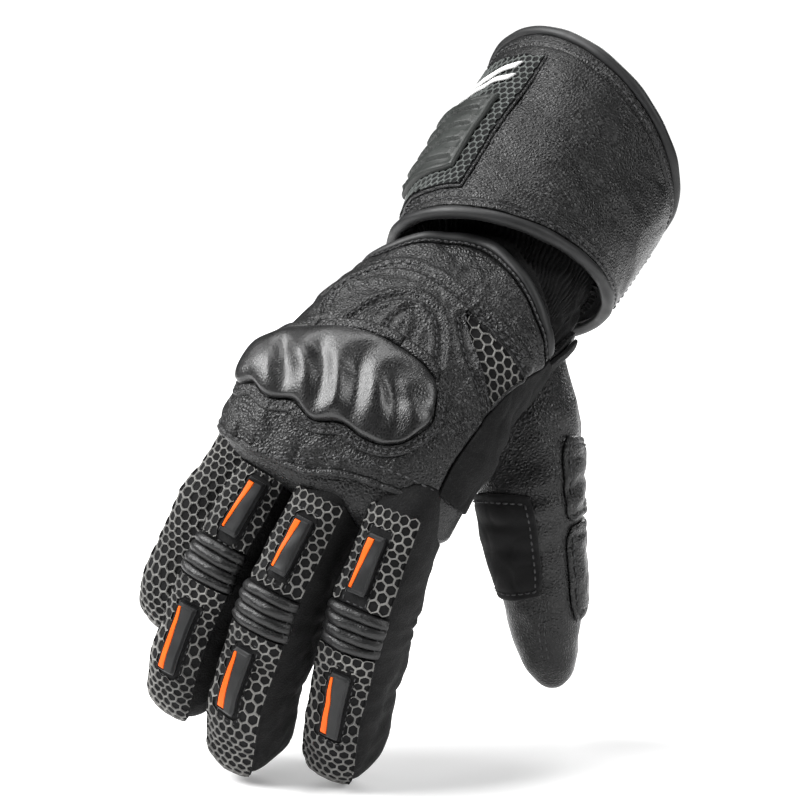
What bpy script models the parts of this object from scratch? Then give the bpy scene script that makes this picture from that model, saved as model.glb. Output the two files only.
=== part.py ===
"""A right-hand touring glove with a gauntlet cuff, in the form that it has when worn.

Metres, +Z up. The origin is the middle of the wrist. The fingers point to -Y and bend down,
the thumb is on the +X side, and the cuff rises to +Y. The glove is a hollow shell of leather and
softshell, with panels, pads and piping sewn on it, each as a piece of its own.
"""

import math
from collections import namedtuple

import bpy
import numpy as np

MM = 0.001

# How the hand leans: its direction dips below level, and its back turns to the thumb side
HAND_DIP = 35.0
HAND_ROLL = 23.5
CUFF_RISE = 37.5
CUFF_HEADING = 11.0
CUFF_TURN = 53.0

# The hand part
PALM_LENGTH = 88 * MM
PALM_WIDTH = 93 * MM
PALM_DEPTH = 41 * MM
PALM_TIP = 11 * MM
FINGER_LENGTH = 111.5 * MM
FINGER_WIDTH = 25 * MM
FINGER_DEPTH = 31 * MM
FINGER_TIP = 12.5 * MM
THUMB_LENGTH = 116 * MM
THUMB_WIDTH = 34 * MM
THUMB_DEPTH = 36 * MM
THUMB_TIP = 13 * MM

# The gathered wrist and the cuff
GATHER_WIDTH = 63 * MM
GATHER_DEPTH = 42 * MM
GATHER_FOLD = 1.8 * MM
GATHER_REACH = 30 * MM
GATHER_SEAT = 30 * MM
GATHER_OVERLAP = 7 * MM
CUFF_START = 8 * MM
CUFF_DROP = 4.4 * MM
CUFF_LENGTH = 69 * MM
CUFF_WIDTH = 77 * MM
CUFF_DEPTH = 76.5 * MM
CUFF_FLARE = 1.08
PIPING_RADIUS = 2.1 * MM

# Walls, skins and the clearances between them
PALM_WALL = 2.0 * MM
FINGER_WALL = 1.8 * MM
GATHER_WALL = 1.2 * MM
CUFF_WALL = 2.4 * MM
SKIN = 1.2 * MM
NET = 1.0 * MM
SEWN_GAP = 0.55 * MM
EDGE_GAP = 0.4 * MM

# Pads, ribs and inserts on the skins
GUARD_EDGE = 1.4 * MM
GUARD_HEIGHT = 6.5 * MM
FLEX_RIBS = 4
FLEX_LENGTH = 10.5 * MM
FLEX_EDGE = 0.9 * MM
FLEX_HEIGHT = 2.4 * MM
INSERT_LENGTH = 19.5 * MM
INSERT_WIDTH = 8.2 * MM
INSERT_HEIGHT = 2.0 * MM
INSERT_EDGE = 0.7 * MM
STRIPE_DEPTH = 0.9 * MM
ROLL_WIDTH = 5.0 * MM
ROLL_HEIGHT = 2.2 * MM
THUMB_PAD_HEIGHT = 1.8 * MM
TAB_LENGTH = 12 * MM
TAB_WIDTH = 9 * MM
TAB_THICKNESS = 2.0 * MM
RIB_PLATE_HEIGHT = 2.4 * MM
RIB_PLATE_EDGE = 1.0 * MM
BAR_HEIGHT = 0.8 * MM

# Facets of the round forms
PALM_SIDES = 24
FINGER_SIDES = 14
CUFF_SIDES = 36
CUFF_ROWS = 4


def unit(vectors):
    vectors = np.asarray(vectors, float)
    return vectors / np.linalg.norm(vectors, axis=-1, keepdims=True)


def turned(vector, axis, degrees):
    """The vector turned about the axis by the right-hand rule."""
    angle = math.radians(degrees)
    axis = unit(axis)
    vector = np.asarray(vector, float)
    along = axis * (axis @ vector) * (1 - math.cos(angle))
    return vector * math.cos(angle) + np.cross(axis, vector) * math.sin(angle) + along


def dipped(degrees, ahead, back):
    """The direction that turns from ahead towards the palm by so many degrees, and its back."""
    angle = math.radians(degrees)
    along = math.cos(angle) * ahead - math.sin(angle) * back
    return along, math.cos(angle) * back + math.sin(angle) * ahead


DISTAL, _level_back = dipped(HAND_DIP, np.array([0.0, -1.0, 0.0]), np.array([0.0, 0.0, 1.0]))
BACK = turned(_level_back, DISTAL, -HAND_ROLL)
RADIAL = np.cross(BACK, DISTAL)


def in_hand(distal, radial, back):
    return distal * DISTAL + radial * RADIAL + back * BACK


def smooth(knots, values, place):
    """Values on a smooth curve through the rows of a table."""
    knots = np.asarray(knots, float)
    values = np.asarray(values, float)
    place = np.clip(np.asarray(place, float), knots[0], knots[-1])
    slopes = np.gradient(values, knots, axis=0)
    row = np.clip(np.searchsorted(knots, place, side="right") - 1, 0, len(knots) - 2)
    step = knots[row + 1] - knots[row]
    t = (place - knots[row]) / step
    if values.ndim > 1:
        t = t[..., None]
        step = step[..., None]
    start = (2 * t**3 - 3 * t**2 + 1) * values[row] + (t**3 - 2 * t**2 + t) * step * slopes[row]
    end = (3 * t**2 - 2 * t**3) * values[row + 1] + (t**3 - t**2) * step * slopes[row + 1]
    return start + end


Section = namedtuple("Section", "share half_width back palm")


class Tube:
    """A soft tube of flattened round sections on a smooth spine.

    A station runs from 0 at the open end to 1, and with a tip from there to 2 over the round end.
    An angle is 0 on the thumb side, 90 on the back, 180 on the little finger's side, 270 on the palm.
    """

    def __init__(self, points, backs, sections, power, tip=0.0):
        self.points = np.array(points, float)
        steps = np.linalg.norm(np.diff(self.points, axis=0), axis=1)
        self.knots = np.concatenate([[0.0], np.cumsum(steps)])
        self.length = self.knots[-1]
        self.backs = np.array(backs, float)
        self.sections = np.array(sections, float)
        self.power = power
        self.tip = tip

    def spine(self, travel):
        return smooth(self.knots, self.points, travel)

    def station(self, travel):
        """The station at a length along the spine, short of the tip."""
        return travel / (self.length - self.tip)

    def skin(self, stations, angles):
        over = np.radians(90 * np.clip(stations - 1, 0, 1))
        travel = np.minimum(stations, 1) * (self.length - self.tip) + self.tip * np.sin(over)
        ahead = self.direction(travel)
        back = smooth(self.knots, self.backs, travel)
        back = unit(back - np.sum(back * ahead, axis=-1, keepdims=True) * ahead)
        sizes = smooth(self.sections[:, 0], self.sections[:, 1:], travel / self.length)
        cos, sin = np.cos(np.radians(angles)), np.sin(np.radians(angles))
        grow = (np.abs(cos) ** self.power + np.abs(sin) ** self.power) ** (-1 / self.power)
        depth = np.where(sin >= 0, sizes[..., 1], sizes[..., 2])
        across = (np.cos(over) * grow * sizes[..., 0] * cos)[..., None] * np.cross(back, ahead)
        return self.spine(travel) + across + (np.cos(over) * grow * depth * sin)[..., None] * back

    def direction(self, travel):
        nudge = 0.01 * self.length
        low = np.clip(travel - nudge, 0, self.length)
        high = np.clip(travel + nudge, 0, self.length)
        return unit(self.spine(high) - self.spine(low))

    def at(self, stations, angles, lift=0.0):
        """Points of the outer surface, lifted off it."""
        stations, angles, lift = np.broadcast_arrays(
            np.asarray(stations, float), np.asarray(angles, float), np.asarray(lift, float)
        )
        nudge = 0.002
        last = 2.0 if self.tip else 1.0
        along = self.skin(np.minimum(stations + nudge, last), angles)
        along = along - self.skin(np.maximum(stations - nudge, 0), angles)
        round_step = self.skin(np.minimum(stations, last - 1e-4), angles + 1)
        round_step = round_step - self.skin(np.minimum(stations, last - 1e-4), angles - 1)
        outward = unit(np.cross(round_step, along))
        return self.skin(stations, angles) + lift[..., None] * outward


# The palm: shares of its length, width, depth, half width and half depth
Palm = namedtuple("Palm", "along across rise dip roll width back palm")
PALM_SECTIONS = (
    Palm(0.00, 0.018, 0.000, 0, 0, 0.76, 1.10, 1.05),
    Palm(0.27, 0.018, 0.020, 0, -2, 0.76, 1.10, 1.10),
    Palm(0.54, 0.008, 0.030, 2, -4, 0.82, 1.07, 1.07),
    Palm(0.79, 0.012, 0.005, 8, -8, 0.88, 1.01, 0.93),
    Palm(0.98, 0.018, -0.065, 22, -12, 0.895, 0.96, 0.83),
    Palm(1.17, 0.012, -0.340, 36, -15, 0.89, 0.88, 0.76),
)


def palm_tube():
    points, backs, sections = [], [], []
    for row in PALM_SECTIONS:
        points.append(
            in_hand(row.along * PALM_LENGTH, row.across * PALM_WIDTH, row.rise * PALM_DEPTH)
        )
        back = turned(BACK, DISTAL, row.roll)
        backs.append(dipped(row.dip, DISTAL, back)[1])
    travel = np.cumsum([0.0] + [np.linalg.norm(b - a) for a, b in zip(points, points[1:])])
    for row, share in zip(PALM_SECTIONS, travel / travel[-1]):
        half_width = row.width * PALM_WIDTH / 2
        half_depth = PALM_DEPTH / 2
        sections.append(Section(share, half_width, row.back * half_depth, row.palm * half_depth))
    return Tube(points, backs, sections, 2.3, PALM_TIP)


# The fingers: where the knuckle lies, how the finger spreads and bends, and its size
Finger = namedtuple("Finger", "name along across rise spread length width bends root net inserts")
FINGERS = (
    Finger("index", 0.953, 0.317, 0.05, 5.5, 0.950, 1.00, (38, 17, 12), 0.03, 0.16, True),
    Finger("middle", 1.015, 0.075, 0.01, 0.0, 1.000, 1.00, (33, 17, 17), 0.03, 0.17, True),
    Finger("ring", 0.976, -0.170, -0.07, -2.3, 0.940, 0.96, (29, 16, 15), 0.03, 0.225, True),
    Finger("little", 0.890, -0.375, -0.34, -7.5, 0.745, 0.88, (34, 9, 12), 0.02, 0.24, False),
)
BONES = (0.465, 0.265, 0.270)
FINGER_SECTIONS = (
    Section(0.00, 0.66, 0.50, 0.70),
    Section(0.12, 0.86, 0.90, 0.90),
    Section(0.24, 0.90, 0.95, 0.95),
    Section(0.46, 1.00, 1.00, 1.02),
    Section(0.72, 0.97, 0.97, 0.96),
    Section(1.00, 0.90, 0.88, 0.86),
)


def finger_tube(finger):
    ahead = turned(DISTAL, BACK, finger.spread)
    point = in_hand(
        finger.along * PALM_LENGTH, finger.across * PALM_WIDTH, finger.rise * PALM_DEPTH
    )
    points = [point]
    tilts = [0.8 * finger.bends[0]]
    bent = 0
    for bone, bend in zip(BONES, finger.bends):
        bent += bend
        reach = bone * finger.length * FINGER_LENGTH * dipped(bent, ahead, BACK)[0]
        points += [point + reach / 2, point + reach]
        tilts += [bent, bent + bend / 2]
        point = point + reach
    tilts[-1] = bent
    backs = [dipped(tilt, ahead, BACK)[1] for tilt in tilts]
    half_width = finger.width * FINGER_WIDTH / 2
    half_depth = finger.width * FINGER_DEPTH / 2
    sections = [
        Section(row.share, row.half_width * half_width, row.back * half_depth, row.palm * half_depth)
        for row in FINGER_SECTIONS
    ]
    return Tube(points, backs, sections, 2.8, FINGER_TIP)


# The thumb: points of its spine as shares of its length, towards fingertips, thumb side and back
Thumb = namedtuple("Thumb", "distal radial back half_width out inside")
THUMB_SECTIONS = (
    Thumb(0.075, 0.175, -0.105, 0.58, 0.58, 0.58),
    Thumb(0.21, 0.225, -0.21, 1.02, 1.04, 1.00),
    Thumb(0.365, 0.35, -0.345, 0.94, 0.93, 0.98),
    Thumb(0.51, 0.47, -0.565, 0.82, 0.77, 0.80),
    Thumb(0.61, 0.56, -0.735, 0.66, 0.58, 0.60),
    Thumb(0.665, 0.605, -0.83, 0.54, 0.44, 0.44),
)
THUMB_BACK = unit(in_hand(-0.49, 0.86, 0.11))
THUMB_ANCHOR = in_hand(0.12 * PALM_LENGTH, 0.14 * PALM_WIDTH, -0.15 * PALM_DEPTH)


def thumb_tube():
    points = [
        in_hand(row.distal * THUMB_LENGTH, row.radial * THUMB_LENGTH, row.back * THUMB_LENGTH)
        for row in THUMB_SECTIONS
    ]
    travel = np.cumsum([0.0] + [np.linalg.norm(b - a) for a, b in zip(points, points[1:])])
    sections = [
        Section(share, row.half_width * THUMB_WIDTH / 2, row.out * THUMB_DEPTH / 2,
                row.inside * THUMB_DEPTH / 2)
        for row, share in zip(THUMB_SECTIONS, travel / travel[-1])
    ]
    return Tube(points, [THUMB_BACK] * len(points), sections, 2.3, THUMB_TIP)


# The cuff's axis, and the side where its mesh panel lies
_level = turned(np.array([0.0, 1.0, 0.0]), np.array([0.0, 0.0, 1.0]), CUFF_HEADING)
CUFF_AXIS = math.cos(math.radians(CUFF_RISE)) * _level + np.array(
    [0.0, 0.0, math.sin(math.radians(CUFF_RISE))]
)
CUFF_FRONT = turned(unit(BACK - (BACK @ CUFF_AXIS) * CUFF_AXIS), CUFF_AXIS, -CUFF_TURN)
CUFF_SIDE = np.cross(CUFF_AXIS, CUFF_FRONT)


def cuff_at(share, angle, lift=0.0, shift=0.0):
    """A point of the cuff, from its lower rim at 0 to its upper one at 1; the panel is at 90."""
    share, angle, lift, shift = np.broadcast_arrays(share, angle, lift, shift)
    cos, sin = np.cos(np.radians(angle)), np.sin(np.radians(angle))
    low = CUFF_START + CUFF_LENGTH * (0.05 * cos - 0.13 * sin)
    high = CUFF_START + CUFF_LENGTH * (1 + 0.05 * cos + 0.19 * sin)
    flare = 1 + (CUFF_FLARE - 1) * share
    wide = flare * CUFF_WIDTH / 2 + lift
    deep = flare * CUFF_DEPTH / 2 + lift
    along = (low + (high - low) * share + shift)[..., None] * CUFF_AXIS - [0.0, 0.0, CUFF_DROP]
    return along + (wide * cos)[..., None] * -CUFF_SIDE + (deep * sin)[..., None] * CUFF_FRONT


FINISHES = {}


def finish(name, colour, roughness, sheen=0.0):
    """A material by name: leather, softshell, net, rubber and the like."""
    material = bpy.data.materials.new(name)
    material.use_nodes = True
    shader = material.node_tree.nodes["Principled BSDF"]
    shader.inputs["Base Color"].default_value = (*colour, 1.0)
    shader.inputs["Roughness"].default_value = roughness
    shader.inputs["Metallic"].default_value = 0.0
    shader.inputs["Sheen Weight"].default_value = sheen
    FINISHES[name] = material


def make_finishes():
    finish("black_leather", (0.018, 0.018, 0.019), 0.42)
    finish("guard_leather", (0.020, 0.020, 0.022), 0.30)
    finish("black_softshell", (0.012, 0.012, 0.013), 0.90, 0.3)
    finish("black_suede", (0.015, 0.015, 0.016), 0.95, 0.5)
    finish("grey_net", (0.090, 0.092, 0.095), 0.70)
    finish("dark_rubber", (0.035, 0.036, 0.038), 0.55)
    finish("grey_rubber", (0.075, 0.085, 0.085), 0.50)
    finish("orange_rubber", (0.900, 0.170, 0.010), 0.50)
    finish("grey_piping", (0.045, 0.046, 0.048), 0.50)
    finish("white_print", (0.800, 0.800, 0.800), 0.60)


def quads(rows, columns, first, ring, inward=False):
    """The faces of a grid of points, whose columns close on themselves in a ring."""
    faces = []
    for i in range(rows - 1):
        for j in range(columns if ring else columns - 1):
            k = (j + 1) % columns
            face = [first + i * columns + j, first + i * columns + k,
                    first + (i + 1) * columns + k, first + (i + 1) * columns + j]
            faces.append(face[::-1] if inward else face)
    return faces


def place(name, points, faces, material, collection):
    mesh = bpy.data.meshes.new(name)
    mesh.from_pydata([tuple(point) for point in points], [], faces)
    mesh.validate()
    mesh.shade_smooth()
    mesh.set_sharp_from_angle(angle=math.radians(40))
    if material:
        mesh.materials.append(FINISHES[material])
    obj = bpy.data.objects.new(name, mesh)
    collection.objects.link(obj)
    return obj


def thicken(obj, thickness, side):
    """Solidify an open sheet outwards (side 1) or inwards (side -1)."""
    solid = obj.modifiers.new("wall", "SOLIDIFY")
    solid.thickness = thickness
    solid.offset = side
    solid.use_even_offset = True
    solid.use_quality_normals = True
    return obj


def shell(name, rows, wall, material, collection, pole=None):
    """A hollow form: rings of points, closed by a pole at the end if there is one."""
    rows = np.asarray(rows)
    count, sides = rows.shape[:2]
    points = list(rows.reshape(-1, 3))
    faces = quads(count, sides, 0, True)
    if pole is not None:
        points.append(pole)
        last = (count - 1) * sides
        faces += [[last + j, last + (j + 1) % sides, count * sides] for j in range(sides)]
    return thicken(place(name, points, faces, material, collection), wall, -1)


def solid(name, rows, pole, collection):
    """A closed form, flat at its first ring and closed by a pole, for a cut."""
    rows = np.asarray(rows)
    count, sides = rows.shape[:2]
    faces = quads(count, sides, 0, True)
    last = (count - 1) * sides
    faces += [[last + j, last + (j + 1) % sides, count * sides] for j in range(sides)]
    faces.append(list(range(sides))[::-1])
    cutter = place(name, list(rows.reshape(-1, 3)) + [pole], faces, None, collection)
    return as_cutter(cutter)


def as_cutter(obj):
    obj.hide_render = True
    obj.display_type = "WIRE"
    return obj


def panel(name, rows, thickness, material, collection):
    """A flat piece of skin on a surface: an open grid made thick on its outer side."""
    rows = np.asarray(rows)
    faces = quads(rows.shape[0], rows.shape[1], 0, False)
    obj = place(name, rows.reshape(-1, 3), faces, material, collection)
    return thicken(obj, thickness, 1)


def pad(name, low, high, material, collection):
    """A piece whose thickness changes: the grid it lies on, the grid of its top, and the rim."""
    low, high = np.asarray(low), np.asarray(high)
    rows, columns = low.shape[:2]
    count = rows * columns
    faces = quads(rows, columns, 0, False, inward=True) + quads(rows, columns, count, False)
    edge = [j for j in range(columns)]
    edge += [i * columns + columns - 1 for i in range(1, rows)]
    edge += [(rows - 1) * columns + j for j in range(columns - 2, -1, -1)]
    edge += [i * columns for i in range(rows - 2, 0, -1)]
    for here, after in zip(edge, edge[1:] + edge[:1]):
        faces.append([here, after, after + count, here + count])
    points = list(low.reshape(-1, 3)) + list(high.reshape(-1, 3))
    return place(name, points, faces, material, collection)


def cut(obj, cutter, name):
    """Take the cutter's form out of the object."""
    boolean = obj.modifiers.new(name, "BOOLEAN")
    boolean.operation = "DIFFERENCE"
    boolean.object = cutter


def spread(first, last, count):
    return np.linspace(first, last, count)


def table(rows, place_at):
    """A smooth curve through a table of pairs."""
    return smooth([row[0] for row in rows], [row[1] for row in rows], place_at)


def lattice(along, across):
    """Grids of two shares, one down the rows and one across the columns."""
    return np.meshgrid(np.asarray(along, float), np.asarray(across, float), indexing="ij")


# Lines on the palm's surface: pairs of an angle and a station
WRIST_LINE = ((5, 0.29), (38, 0.225), (62, 0.165), (88, 0.125), (112, 0.175), (140, 0.270),
              (170, 0.32))
FINGER_LINE = ((20, 0.93), (36, 0.93), (60, 0.94), (85, 0.965), (105, 1.02), (130, 1.08),
               (170, 1.02))
# Pairs of a station and an angle: the softshell strip's upper and lower edge
STRIP_TOP = ((0.08, 6), (0.27, 9), (0.39, 20), (0.53, 28), (0.67, 34), (0.80, 38), (1.00, 36))
STRIP_FOOT = ((0.06, -44), (0.20, -40), (0.34, -24), (0.48, -12), (0.65, -4), (0.82, 4), (1.00, 6))
BACK_EDGE_ANGLE = 166
PALM_RIM = 0.04
BESIDE_STRIP = 0.9
PANEL_TOP = SEWN_GAP + SKIN
SECOND_LAYER = PANEL_TOP + SEWN_GAP
NET_TOP = SEWN_GAP + NET


def rim_of_palm(angle):
    """The station where the palm's shell ends at the wrist: it follows the piping on the back."""
    behind = ROLL_WIDTH + 3 * EDGE_GAP
    angle = (np.asarray(angle, float) + 90) % 360 - 90
    line = table(WRIST_LINE, angle) - palm_form.station(behind)
    on_back = np.clip(np.sin(np.radians(angle)) * 4 + 1, 0, 1)
    return PALM_RIM + (line - PALM_RIM) * on_back


def palm_body(collection, cutters):
    angles = spread(0, 360, PALM_SIDES + 1)[:-1]
    rim = rim_of_palm(angles)
    rows = [palm_form.at(rim + (share - rim) * part, angles)
            for share, part in ((1, 0.0), (1, 0.25), (1, 0.5), (1, 0.75))]
    rows += [palm_form.at(np.full(PALM_SIDES, station), angles) for station in (1, 1.35, 1.7)]
    pole = palm_form.at(2.0, 90.0)
    body = shell("palm_body", rows, PALM_WALL, "black_leather", collection, pole)
    for finger, form in finger_forms:
        hollow = tube_solid(f"{finger.name}_hollow", form, finger.root, anchor_of(finger),
                            -FINGER_WALL, cutters)
        cut(body, hollow, finger.name)
    hollow = tube_solid("thumb_hollow", thumb_form, 0.0, THUMB_ANCHOR, -FINGER_WALL, cutters)
    cut(body, hollow, "thumb")
    outside = solid(
        "palm_outside",
        [palm_form.at(np.full(PALM_SIDES, station), angles, EDGE_GAP)
         for station in (0, 0.25, 0.5, 0.75, 1, 1.35, 1.7)],
        palm_form.at(2.0, 90.0, EDGE_GAP),
        cutters,
    )
    return outside


ANCHOR_SHARE = 0.5
FINGER_ROWS = (0.14, 0.34, 0.5, 0.65, 0.82, 1.0, 1.35, 1.7)


def tube_rings(form, root, anchor, lift):
    """Rings of a finger, from a small one inside the palm at the anchor to the round end."""
    angles = spread(0, 360, FINGER_SIDES + 1)[:-1]
    stations = [root] + [station for station in FINGER_ROWS if station > root + 0.05]
    rings = [form.at(np.full(FINGER_SIDES, station), angles, lift) for station in stations]
    middle = rings[0].mean(axis=0)
    return [anchor + ANCHOR_SHARE * (rings[0] - middle)] + rings


def anchor_of(finger):
    """The point inside the palm where a finger's tube begins."""
    along = (finger.along - 0.16) * PALM_LENGTH
    return in_hand(along, 0.8 * finger.across * PALM_WIDTH, 0.5 * finger.rise * PALM_DEPTH)


def tube_solid(name, form, root, anchor, lift, cutters):
    return solid(name, tube_rings(form, root, anchor, lift), form.at(2.0, 90.0, lift), cutters)


def hollow_tube(name, form, root, anchor, palm_outside, material, collection):
    """A finger or thumb, whose open root is trimmed to the palm's outer surface."""
    rings = tube_rings(form, root, anchor, 0.0)
    body = shell(name, rings, FINGER_WALL, material, collection, form.at(2.0, 90.0))
    cut(body, palm_outside, "palm")
    return body


def finger_net(finger, form, part, first, last, collection):
    """The net on a finger's back, between two stations."""
    within = [station for station in FINGER_ROWS if first + 0.05 < station < last - 0.05]
    station, across = lattice([first, *within, last], spread(0, 1, 6))
    angle = NET_FIRST + (NET_LAST - NET_FIRST) * across
    name = f"{finger.name}_net{part}"
    rows = form.at(station, angle, SEWN_GAP)
    panel(name, rows, NET, "grey_net", collection)


NET_FIRST, NET_LAST = 48, 130
FLEX_FIRST, FLEX_LAST = 44, 134
NET_END = 1.72


def flex_range(form):
    """The stations of the ribbed leather over the middle joint."""
    joint = form.station(BONES[0] * form.length)
    half = form.station(FLEX_LENGTH / 2)
    return joint - half, joint + half


def finger_flex(finger, form, collection):
    """Ribbed leather that lets the finger bend."""
    first, last = flex_range(form)
    count = 2 * FLEX_RIBS + 1
    along, across = lattice(spread(0, 1, count), spread(0, 1, 7))
    station = first + (last - first) * along
    angle = FLEX_FIRST + (FLEX_LAST - FLEX_FIRST) * across
    rib = np.arange(count)[:, None] % 2
    height = FLEX_EDGE + (FLEX_HEIGHT - FLEX_EDGE) * rib * np.sin(np.pi * across) ** 0.4
    pad(f"{finger.name}_flex", form.at(station, angle, SEWN_GAP),
        form.at(station, angle, SEWN_GAP + height), "black_leather", collection)


# Where the rubber inserts lie on a finger: station and angle of their middle
Insert = namedtuple("Insert", "finger part station angle wide_end")
INSERTS = (
    Insert("index", "upper", 0.330, 95, 0),
    Insert("index", "lower", 0.765, 84, 1),
    Insert("middle", "upper", 0.325, 88, 0),
    Insert("middle", "lower", 0.740, 92, 1),
    Insert("ring", "upper", 0.335, 80, 0),
    Insert("ring", "lower", 0.785, 88, 1),
)
CHANNEL_EDGE = 0.72
CHANNEL_WIDE = -0.15
CHANNEL_NARROW = 0.30
CHANNEL_START = 0.14


def insert_place(insert, form, along, across):
    """Stations and angles of shares of the insert: 0 to 1 along it, -1 to 1 across it."""
    station = insert.station + form.station(INSERT_LENGTH) * (along - 0.5)
    degrees = math.degrees(INSERT_WIDTH / FINGER_WIDTH)
    return station, insert.angle + degrees * across


def channel_side(insert, along):
    """The channel's inner side: it widens towards one end of the insert."""
    wide = along if insert.wide_end else 1 - along
    return CHANNEL_NARROW + (CHANNEL_WIDE - CHANNEL_NARROW) * wide


def rubber_insert(insert, form, collection):
    """A bevelled rubber bar with a tapering channel, and the orange stripe that fills it."""
    slope = 0.05
    along = np.array([0.0, 0.10, CHANNEL_START, 0.5, 1 - CHANNEL_START, 0.90, 1.0])[:, None]
    inner = channel_side(insert, along)
    across = np.concatenate(
        [np.full_like(inner, -1.0), np.full_like(inner, -0.75), inner, inner + slope,
         np.full_like(inner, CHANNEL_EDGE - slope), np.full_like(inner, CHANNEL_EDGE),
         np.full_like(inner, 1.0)], axis=1)
    along = np.broadcast_to(along, across.shape)
    station, angle = insert_place(insert, form, along, across)
    height = np.full(across.shape, INSERT_HEIGHT)
    height[[0, -1]] = INSERT_EDGE
    height[:, [0, -1]] = INSERT_EDGE
    height[2:5, 3:5] = INSERT_HEIGHT - STRIPE_DEPTH
    base = NET_TOP + SEWN_GAP
    name = f"{insert.finger}_insert_{insert.part}"
    pad(name, form.at(station, angle, base), form.at(station, angle, base + height),
        "dark_rubber", collection)
    gap = slope + 2 * EDGE_GAP / INSERT_WIDTH
    along = np.array([CHANNEL_START, 0.5, 1 - CHANNEL_START])
    along = along + np.array([1, 0, -1]) * 2 * EDGE_GAP / INSERT_LENGTH
    inner = channel_side(insert, along) + gap
    across = np.stack([inner, np.full_like(inner, CHANNEL_EDGE - gap)], axis=1)
    station, angle = insert_place(insert, form, along[:, None] + 0 * across, across)
    foot = base + INSERT_HEIGHT - STRIPE_DEPTH + EDGE_GAP
    pad(f"{insert.finger}_stripe_{insert.part}", form.at(station, angle, foot),
        form.at(station, angle, base + INSERT_HEIGHT), "orange_rubber", collection)


def finger_skins(finger, form, collection):
    if not finger.inserts:
        finger_net(finger, form, "", finger.net, NET_END, collection)
        return
    first, last = flex_range(form)
    gap = form.station(EDGE_GAP)
    finger_net(finger, form, "_upper", finger.net, first - gap, collection)
    finger_net(finger, form, "_lower", last + gap, NET_END, collection)
    finger_flex(finger, form, collection)
    for insert in INSERTS:
        if insert.finger == finger.name:
            rubber_insert(insert, form, collection)


def back_station(along, angle):
    """The station at a share of the way from the wrist line to the finger line."""
    wrist = table(WRIST_LINE, angle)
    return wrist + (table(FINGER_LINE, angle) - wrist) * along


def back_place(along, across):
    """Stations and angles on the back panel, from the wrist to the fingers and from the thumb side."""
    first = np.full_like(along, 20.0)
    for _ in range(4):
        first = table(STRIP_TOP, back_station(along, first)) + BESIDE_STRIP
    angle = first + (BACK_EDGE_ANGLE - first) * across
    return back_station(along, angle), angle


# The hexagon net on the back: angles, the stations of its two sides, and 1 where it meets the strip
NET_SIDES = ((21.5, 0.388, 0.396, 1), (25.5, 0.388, 0.455, 1), (29.2, 0.387, 0.525, 1),
             (32.0, 0.385, 0.585, 0), (38.0, 0.382, 0.555, 0), (45.0, 0.378, 0.515, 0),
             (58.0, 0.370, 0.445, 0), (70.0, 0.365, 0.385, 0))


def net_window(grow, low, high, name, material, collection):
    """The three-sided net panel on the back, or with room round it the hole for it."""
    sides = np.array(NET_SIDES)
    room = 60 * grow
    ends = np.array([-room, *[0.0] * (len(sides) - 2), room])
    angle = np.stack([sides[:, 0] + ends] * 3, axis=1)
    top = sides[:, 1] - grow
    foot = sides[:, 2] + grow * (1 + 8 * sides[:, 3])
    station = np.stack([foot, (top + foot) / 2, top], axis=1)
    return pad(name, palm_form.at(station, angle, low), palm_form.at(station, angle, high),
               material, collection)


def back_panel(collection, cutters, beside):
    along, across = lattice(spread(0, 1, 8), spread(0, 1, 13))
    station, angle = back_place(along, across)
    body = panel("back_panel", palm_form.at(station, angle, SEWN_GAP), SKIN, "black_leather",
                 collection)
    hole = net_window(palm_form.station(EDGE_GAP), 0.0, 3 * SKIN, "net_hole", None, cutters)
    cut(body, as_cutter(hole), "net")
    for cutter in beside:
        cut(body, cutter, cutter.name)
    net_window(0.0, SEWN_GAP, NET_TOP, "back_net", "grey_net", collection)


# The knuckle guard: angles, and the stations of its upper and lower edge
GUARD_EDGES = ((59, 0.735, 0.775), (63, 0.665, 0.835), (70, 0.632, 0.872), (80, 0.617, 0.885),
               (92, 0.610, 0.880), (104, 0.617, 0.900), (116, 0.636, 0.885), (128, 0.660, 0.900),
               (140, 0.682, 0.885), (152, 0.710, 0.895), (160, 0.750, 0.865), (163, 0.785, 0.820))
# The knuckles under it: their angle at its upper and at its lower edge
GUARD_KNUCKLES = ((85, 76), (112, 101), (134, 122), (158, 143))


def guard_place(along, across):
    angle = GUARD_EDGES[0][0] + (GUARD_EDGES[-1][0] - GUARD_EDGES[0][0]) * across
    top = smooth([row[0] for row in GUARD_EDGES], [row[1] for row in GUARD_EDGES], angle)
    foot = smooth([row[0] for row in GUARD_EDGES], [row[2] for row in GUARD_EDGES], angle)
    return top + (foot - top) * along, angle


def guard_height(along, across, angle):
    """Four ridges, one over each knuckle, that rise from a flat edge and fade to the wrist."""
    upper, lower = np.array(GUARD_KNUCKLES).T
    knuckle = np.zeros_like(angle)
    for i in range(angle.shape[0]):
        for j in range(angle.shape[1]):
            lines = upper + (lower - upper) * along[i, j]
            knuckle[i, j] = np.interp(angle[i, j], lines, range(len(lines)),
                                      left=0 - (lines[0] - angle[i, j]) / 40,
                                      right=3 + (angle[i, j] - lines[-1]) / 40)
    ridge = 0.5 + 0.5 * np.cos(2 * np.pi * knuckle)
    dome = np.clip(np.sin(np.pi * np.clip(along, 0, 1)), 0, 1) ** 0.55
    dome = dome * np.clip(np.sin(np.pi * across), 0, 1) ** 0.45
    depth = 0.55 + 0.45 * ridge * np.clip(1.4 * along, 0, 1) + 0.45 * np.clip(1 - 1.4 * along, 0, 1)
    return GUARD_EDGE + (GUARD_HEIGHT - GUARD_EDGE) * dome * depth


def knuckle_guard(collection):
    along, across = lattice(spread(0, 1, 8), spread(0, 1, 18))
    station, angle = guard_place(along, across)
    height = guard_height(along, across, angle)
    pad("knuckle_guard", palm_form.at(station, angle, SECOND_LAYER),
        palm_form.at(station, angle, SECOND_LAYER + height), "guard_leather", collection)


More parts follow.
